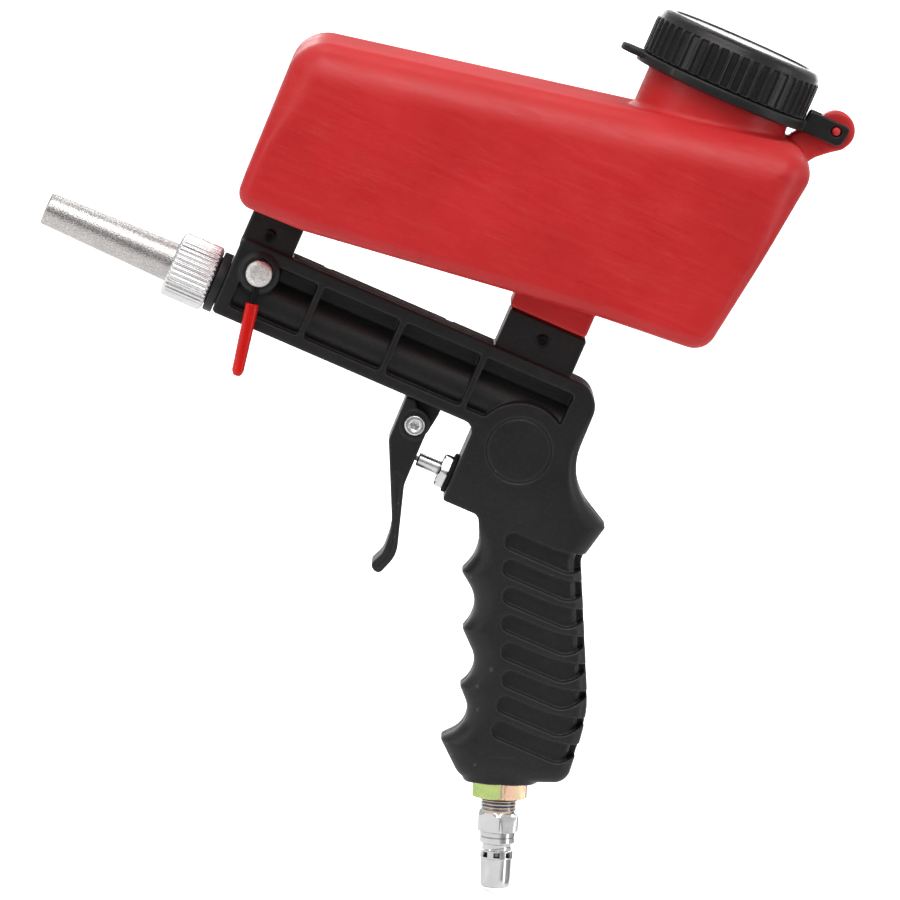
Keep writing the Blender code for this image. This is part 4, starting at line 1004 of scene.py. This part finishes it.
NYLON = ((0.0115, 0.0115, 0.0118), 1900.0, 0.42)   # base tone, texture scale, gloss
FINISH = {
    "black": black_nylon("black_nylon", *NYLON),
    "body": black_nylon("body_nylon", *NYLON, badge=tuple(to_row((BADGE_X, 0.0, BADGE_Z)).tolist())),
    "cap": black_nylon("cap_black", (0.013, 0.013, 0.0135), 2400.0, 0.27,
                       polished_above=float(to_row((0.0, 0.0, CAP_POLISHED))[2])),
    "red": red_polyethylene(),
    "nozzle": metal("nozzle_satin_steel", (0.71, 0.68, 0.67), 0.26, 0.10, 0.55, 1800.0,
                    speckle=(1800.0, 0.54, (0.25, 0.24, 0.23))),
    "knurled": metal("knurled_aluminium", (0.82, 0.82, 0.82), 0.27, 0.10, 0.12, 1200.0),
    "mottled": metal("cast_zinc", (0.97, 0.95, 0.93), 0.55, 0.2, 0.5, 620.0,
                     speckle=(1300.0, 0.42, (0.34, 0.33, 0.32))),
    # zinc_plate and bright_chrome darken their recesses with painted shade.
    "zinc": metal("zinc_plate", (0.78, 0.79, 0.80), 0.26, 0.14, 0.12, 900.0, crevice_shade=0.85),
    "dark_steel": metal("black_oxide_steel", (0.022, 0.022, 0.023), 0.36, 0.16, 0.2, 900.0),
    "chrome": metal("bright_chrome", (0.77, 0.775, 0.78), 0.18, 0.08, 0.02, crevice_shade=0.9),
    "brass": metal("valve_brass", (0.72, 0.52, 0.24), 0.3, 0.16, 0.1),
    "tube": metal("tube_aluminium", (0.74, 0.75, 0.76), 0.34, 0.12, 0.1),
    "chromate": chromate_film(),
    "vinyl": soft_plastic("dipped_vinyl", (0.66, 0.006, 0.004), 0.24, 500.0, 0.05, 0.22),
    "rubber": soft_plastic("black_rubber", (0.010, 0.010, 0.010), 0.62, 1400.0, 0.2),
}
KEPT_AS_THEY_COME = {
    "rubber": ("nozzle_gasket", "feed_valve_o_ring_left", "feed_valve_o_ring_right", "hopper_outlet_seal",
               "cap_gasket", "poppet_seal", "stem_seal", "inlet_seal"),
    "knurled": ("air_jet",),
    "tube": ("air_tube", "inlet_tube"),
    "brass": ("valve_body", "valve_rear_plug"),
    "zinc": ("valve_spring",),
}


def dress_frame():
    """Materials for the hard inner pieces that are kept as they come from the frame."""
    for look, nodes in KEPT_AS_THEY_COME.items():
        for node in nodes:
            piece = bpy.data.objects[node]
            piece.data.materials.clear()
            piece.data.materials.append(FINISH[look])


# ---------------------------------------------------------------- studio

def build_backdrop(low):
    """One pale sweep: flat under the gun, curving up far behind it."""
    rows = [(-0.45, 0.0), (0.0, 0.0), (1.4, 0.0)]
    rows += [(1.4 + 1.2 * math.sin(a), 1.2 - 1.2 * math.cos(a)) for a in
             (math.radians(6 * k) for k in range(1, 16))]
    rows += [(2.6, 2.4), (2.6, 6.0)]
    vertices = [(x, y, low + z) for y, z in rows for x in (-1.1, 1.1)]
    faces = [(2 * i, 2 * i + 1, 2 * i + 3, 2 * i + 2) for i in range(len(rows) - 1)]
    mesh = bpy.data.meshes.new("studio_floor")
    mesh.from_pydata(vertices, [], faces)
    mesh.shade_smooth()
    floor = bpy.data.objects.new("studio_floor", mesh)
    bpy.context.scene.collection.objects.link(floor)
    s = Shader("studio_paper")
    seen = s.add("ShaderNodeLightPath").outputs["Is Camera Ray"]
    s.set(Base_Color=(0.86, 0.86, 0.86), Roughness=0.9, Emission_Color=(1.0, 1.0, 1.0),
          Emission_Strength=s.math("MULTIPLY", seen, 0.62))
    floor.data.materials.append(s.made)
    floor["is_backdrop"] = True


def soft_box(name, place, target, width, height, power):
    light = bpy.data.lights.new(name, "AREA")
    light.shape = "RECTANGLE"
    light.size, light.size_y = width, height
    light.energy = power
    lamp = bpy.data.objects.new(name, light)
    bpy.context.scene.collection.objects.link(lamp)
    lamp.location = place
    lamp.visible_camera = False
    lamp.rotation_euler = (Vector(target) - Vector(place)).to_track_quat("-Z", "Y").to_euler()


def build_studio():
    build_backdrop(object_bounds()[0][2] - MM)
    middle = (0.0, 0.0, 0.16)
    soft_box("key_above", (-0.35, -0.75, 1.30), middle, 1.2, 0.8, 9.0)
    soft_box("fill_left", (-1.30, -0.70, 0.55), middle, 0.35, 1.3, 3.0)
    soft_box("fill_right", (1.25, -0.35, 0.45), middle, 0.35, 1.3, 3.0)
    soft_box("back_wash", (0.2, 1.1, 1.5), (0.0, 1.8, 0.6), 2.0, 0.8, 24.0)
    soft_box("rim_behind", (0.0, 1.2, 0.45), middle, 1.4, 0.22, 2.6)
    world = bpy.data.worlds.new("studio_world")
    bpy.context.scene.world = world
    world.use_nodes = True
    tree = world.node_tree
    split = tree.nodes.new("ShaderNodeSeparateXYZ")
    tree.links.new(tree.nodes.new("ShaderNodeTexCoord").outputs["Generated"], split.inputs["Vector"])
    shade = tree.nodes.new("ShaderNodeValToRGB")
    tree.links.new(split.outputs["Z"], shade.inputs["Fac"])
    for element, (position, grey) in zip(shade.color_ramp.elements, ((0.06, 0.30), (0.22, 1.0))):
        element.position = position
        element.color = (grey, grey, grey, 1.0)
    sky = tree.nodes["Background"]
    tree.links.new(shade.outputs["Color"], sky.inputs["Color"])
    sky.inputs["Strength"].default_value = 0.64
    paper = tree.nodes.new("ShaderNodeBackground")
    paper.inputs["Color"].default_value = (1.0, 1.0, 1.0, 1.0)
    blend = tree.nodes.new("ShaderNodeMixShader")
    tree.links.new(tree.nodes.new("ShaderNodeLightPath").outputs["Is Camera Ray"], blend.inputs["Fac"])
    tree.links.new(sky.outputs["Background"], blend.inputs[1])
    tree.links.new(paper.outputs["Background"], blend.inputs[2])
    tree.links.new(blend.outputs["Shader"], tree.nodes["World Output"].inputs["Surface"])


def build_camera():
    """A long lens held level with the gun, rolled with it."""
    roll, tip = math.radians(23.5), math.radians(6.9)
    right = Vector((math.cos(roll), 0.0, math.sin(roll)))
    up_flat = Vector((-math.sin(roll), 0.0, math.cos(roll)))
    forward = Vector((0.0, math.cos(tip), 0.0)) - up_flat * math.sin(tip)
    up = up_flat * math.cos(tip) + Vector((0.0, math.sin(tip), 0.0))
    target = Vector(to_row((96.0, 0.0, -21.9)).tolist())
    distance, width = 2.4, 0.315
    lens = bpy.data.cameras.new("studio_camera")
    lens.sensor_width = 36.0
    lens.lens = 36.0 * distance / width
    lens.clip_end = 20.0
    camera = bpy.data.objects.new("studio_camera", lens)
    bpy.context.scene.collection.objects.link(camera)
    camera.matrix_world = Matrix.Translation(target - forward * distance) @ Matrix(
        (right, up, -forward)).transposed().to_4x4()
    bpy.context.scene.camera = camera


def main():
    build_body("body_left", -1)
    build_body("body_right", 1)
    build_hopper()
    build_nozzle_end()
    build_feed_valve()
    build_lid()
    build_trigger()
    build_air_valve()
    build_inlet()
    build_screws()
    dress_frame()
    build_studio()
    build_camera()
    bpy.context.scene.view_settings.view_transform = "Standard"


main()
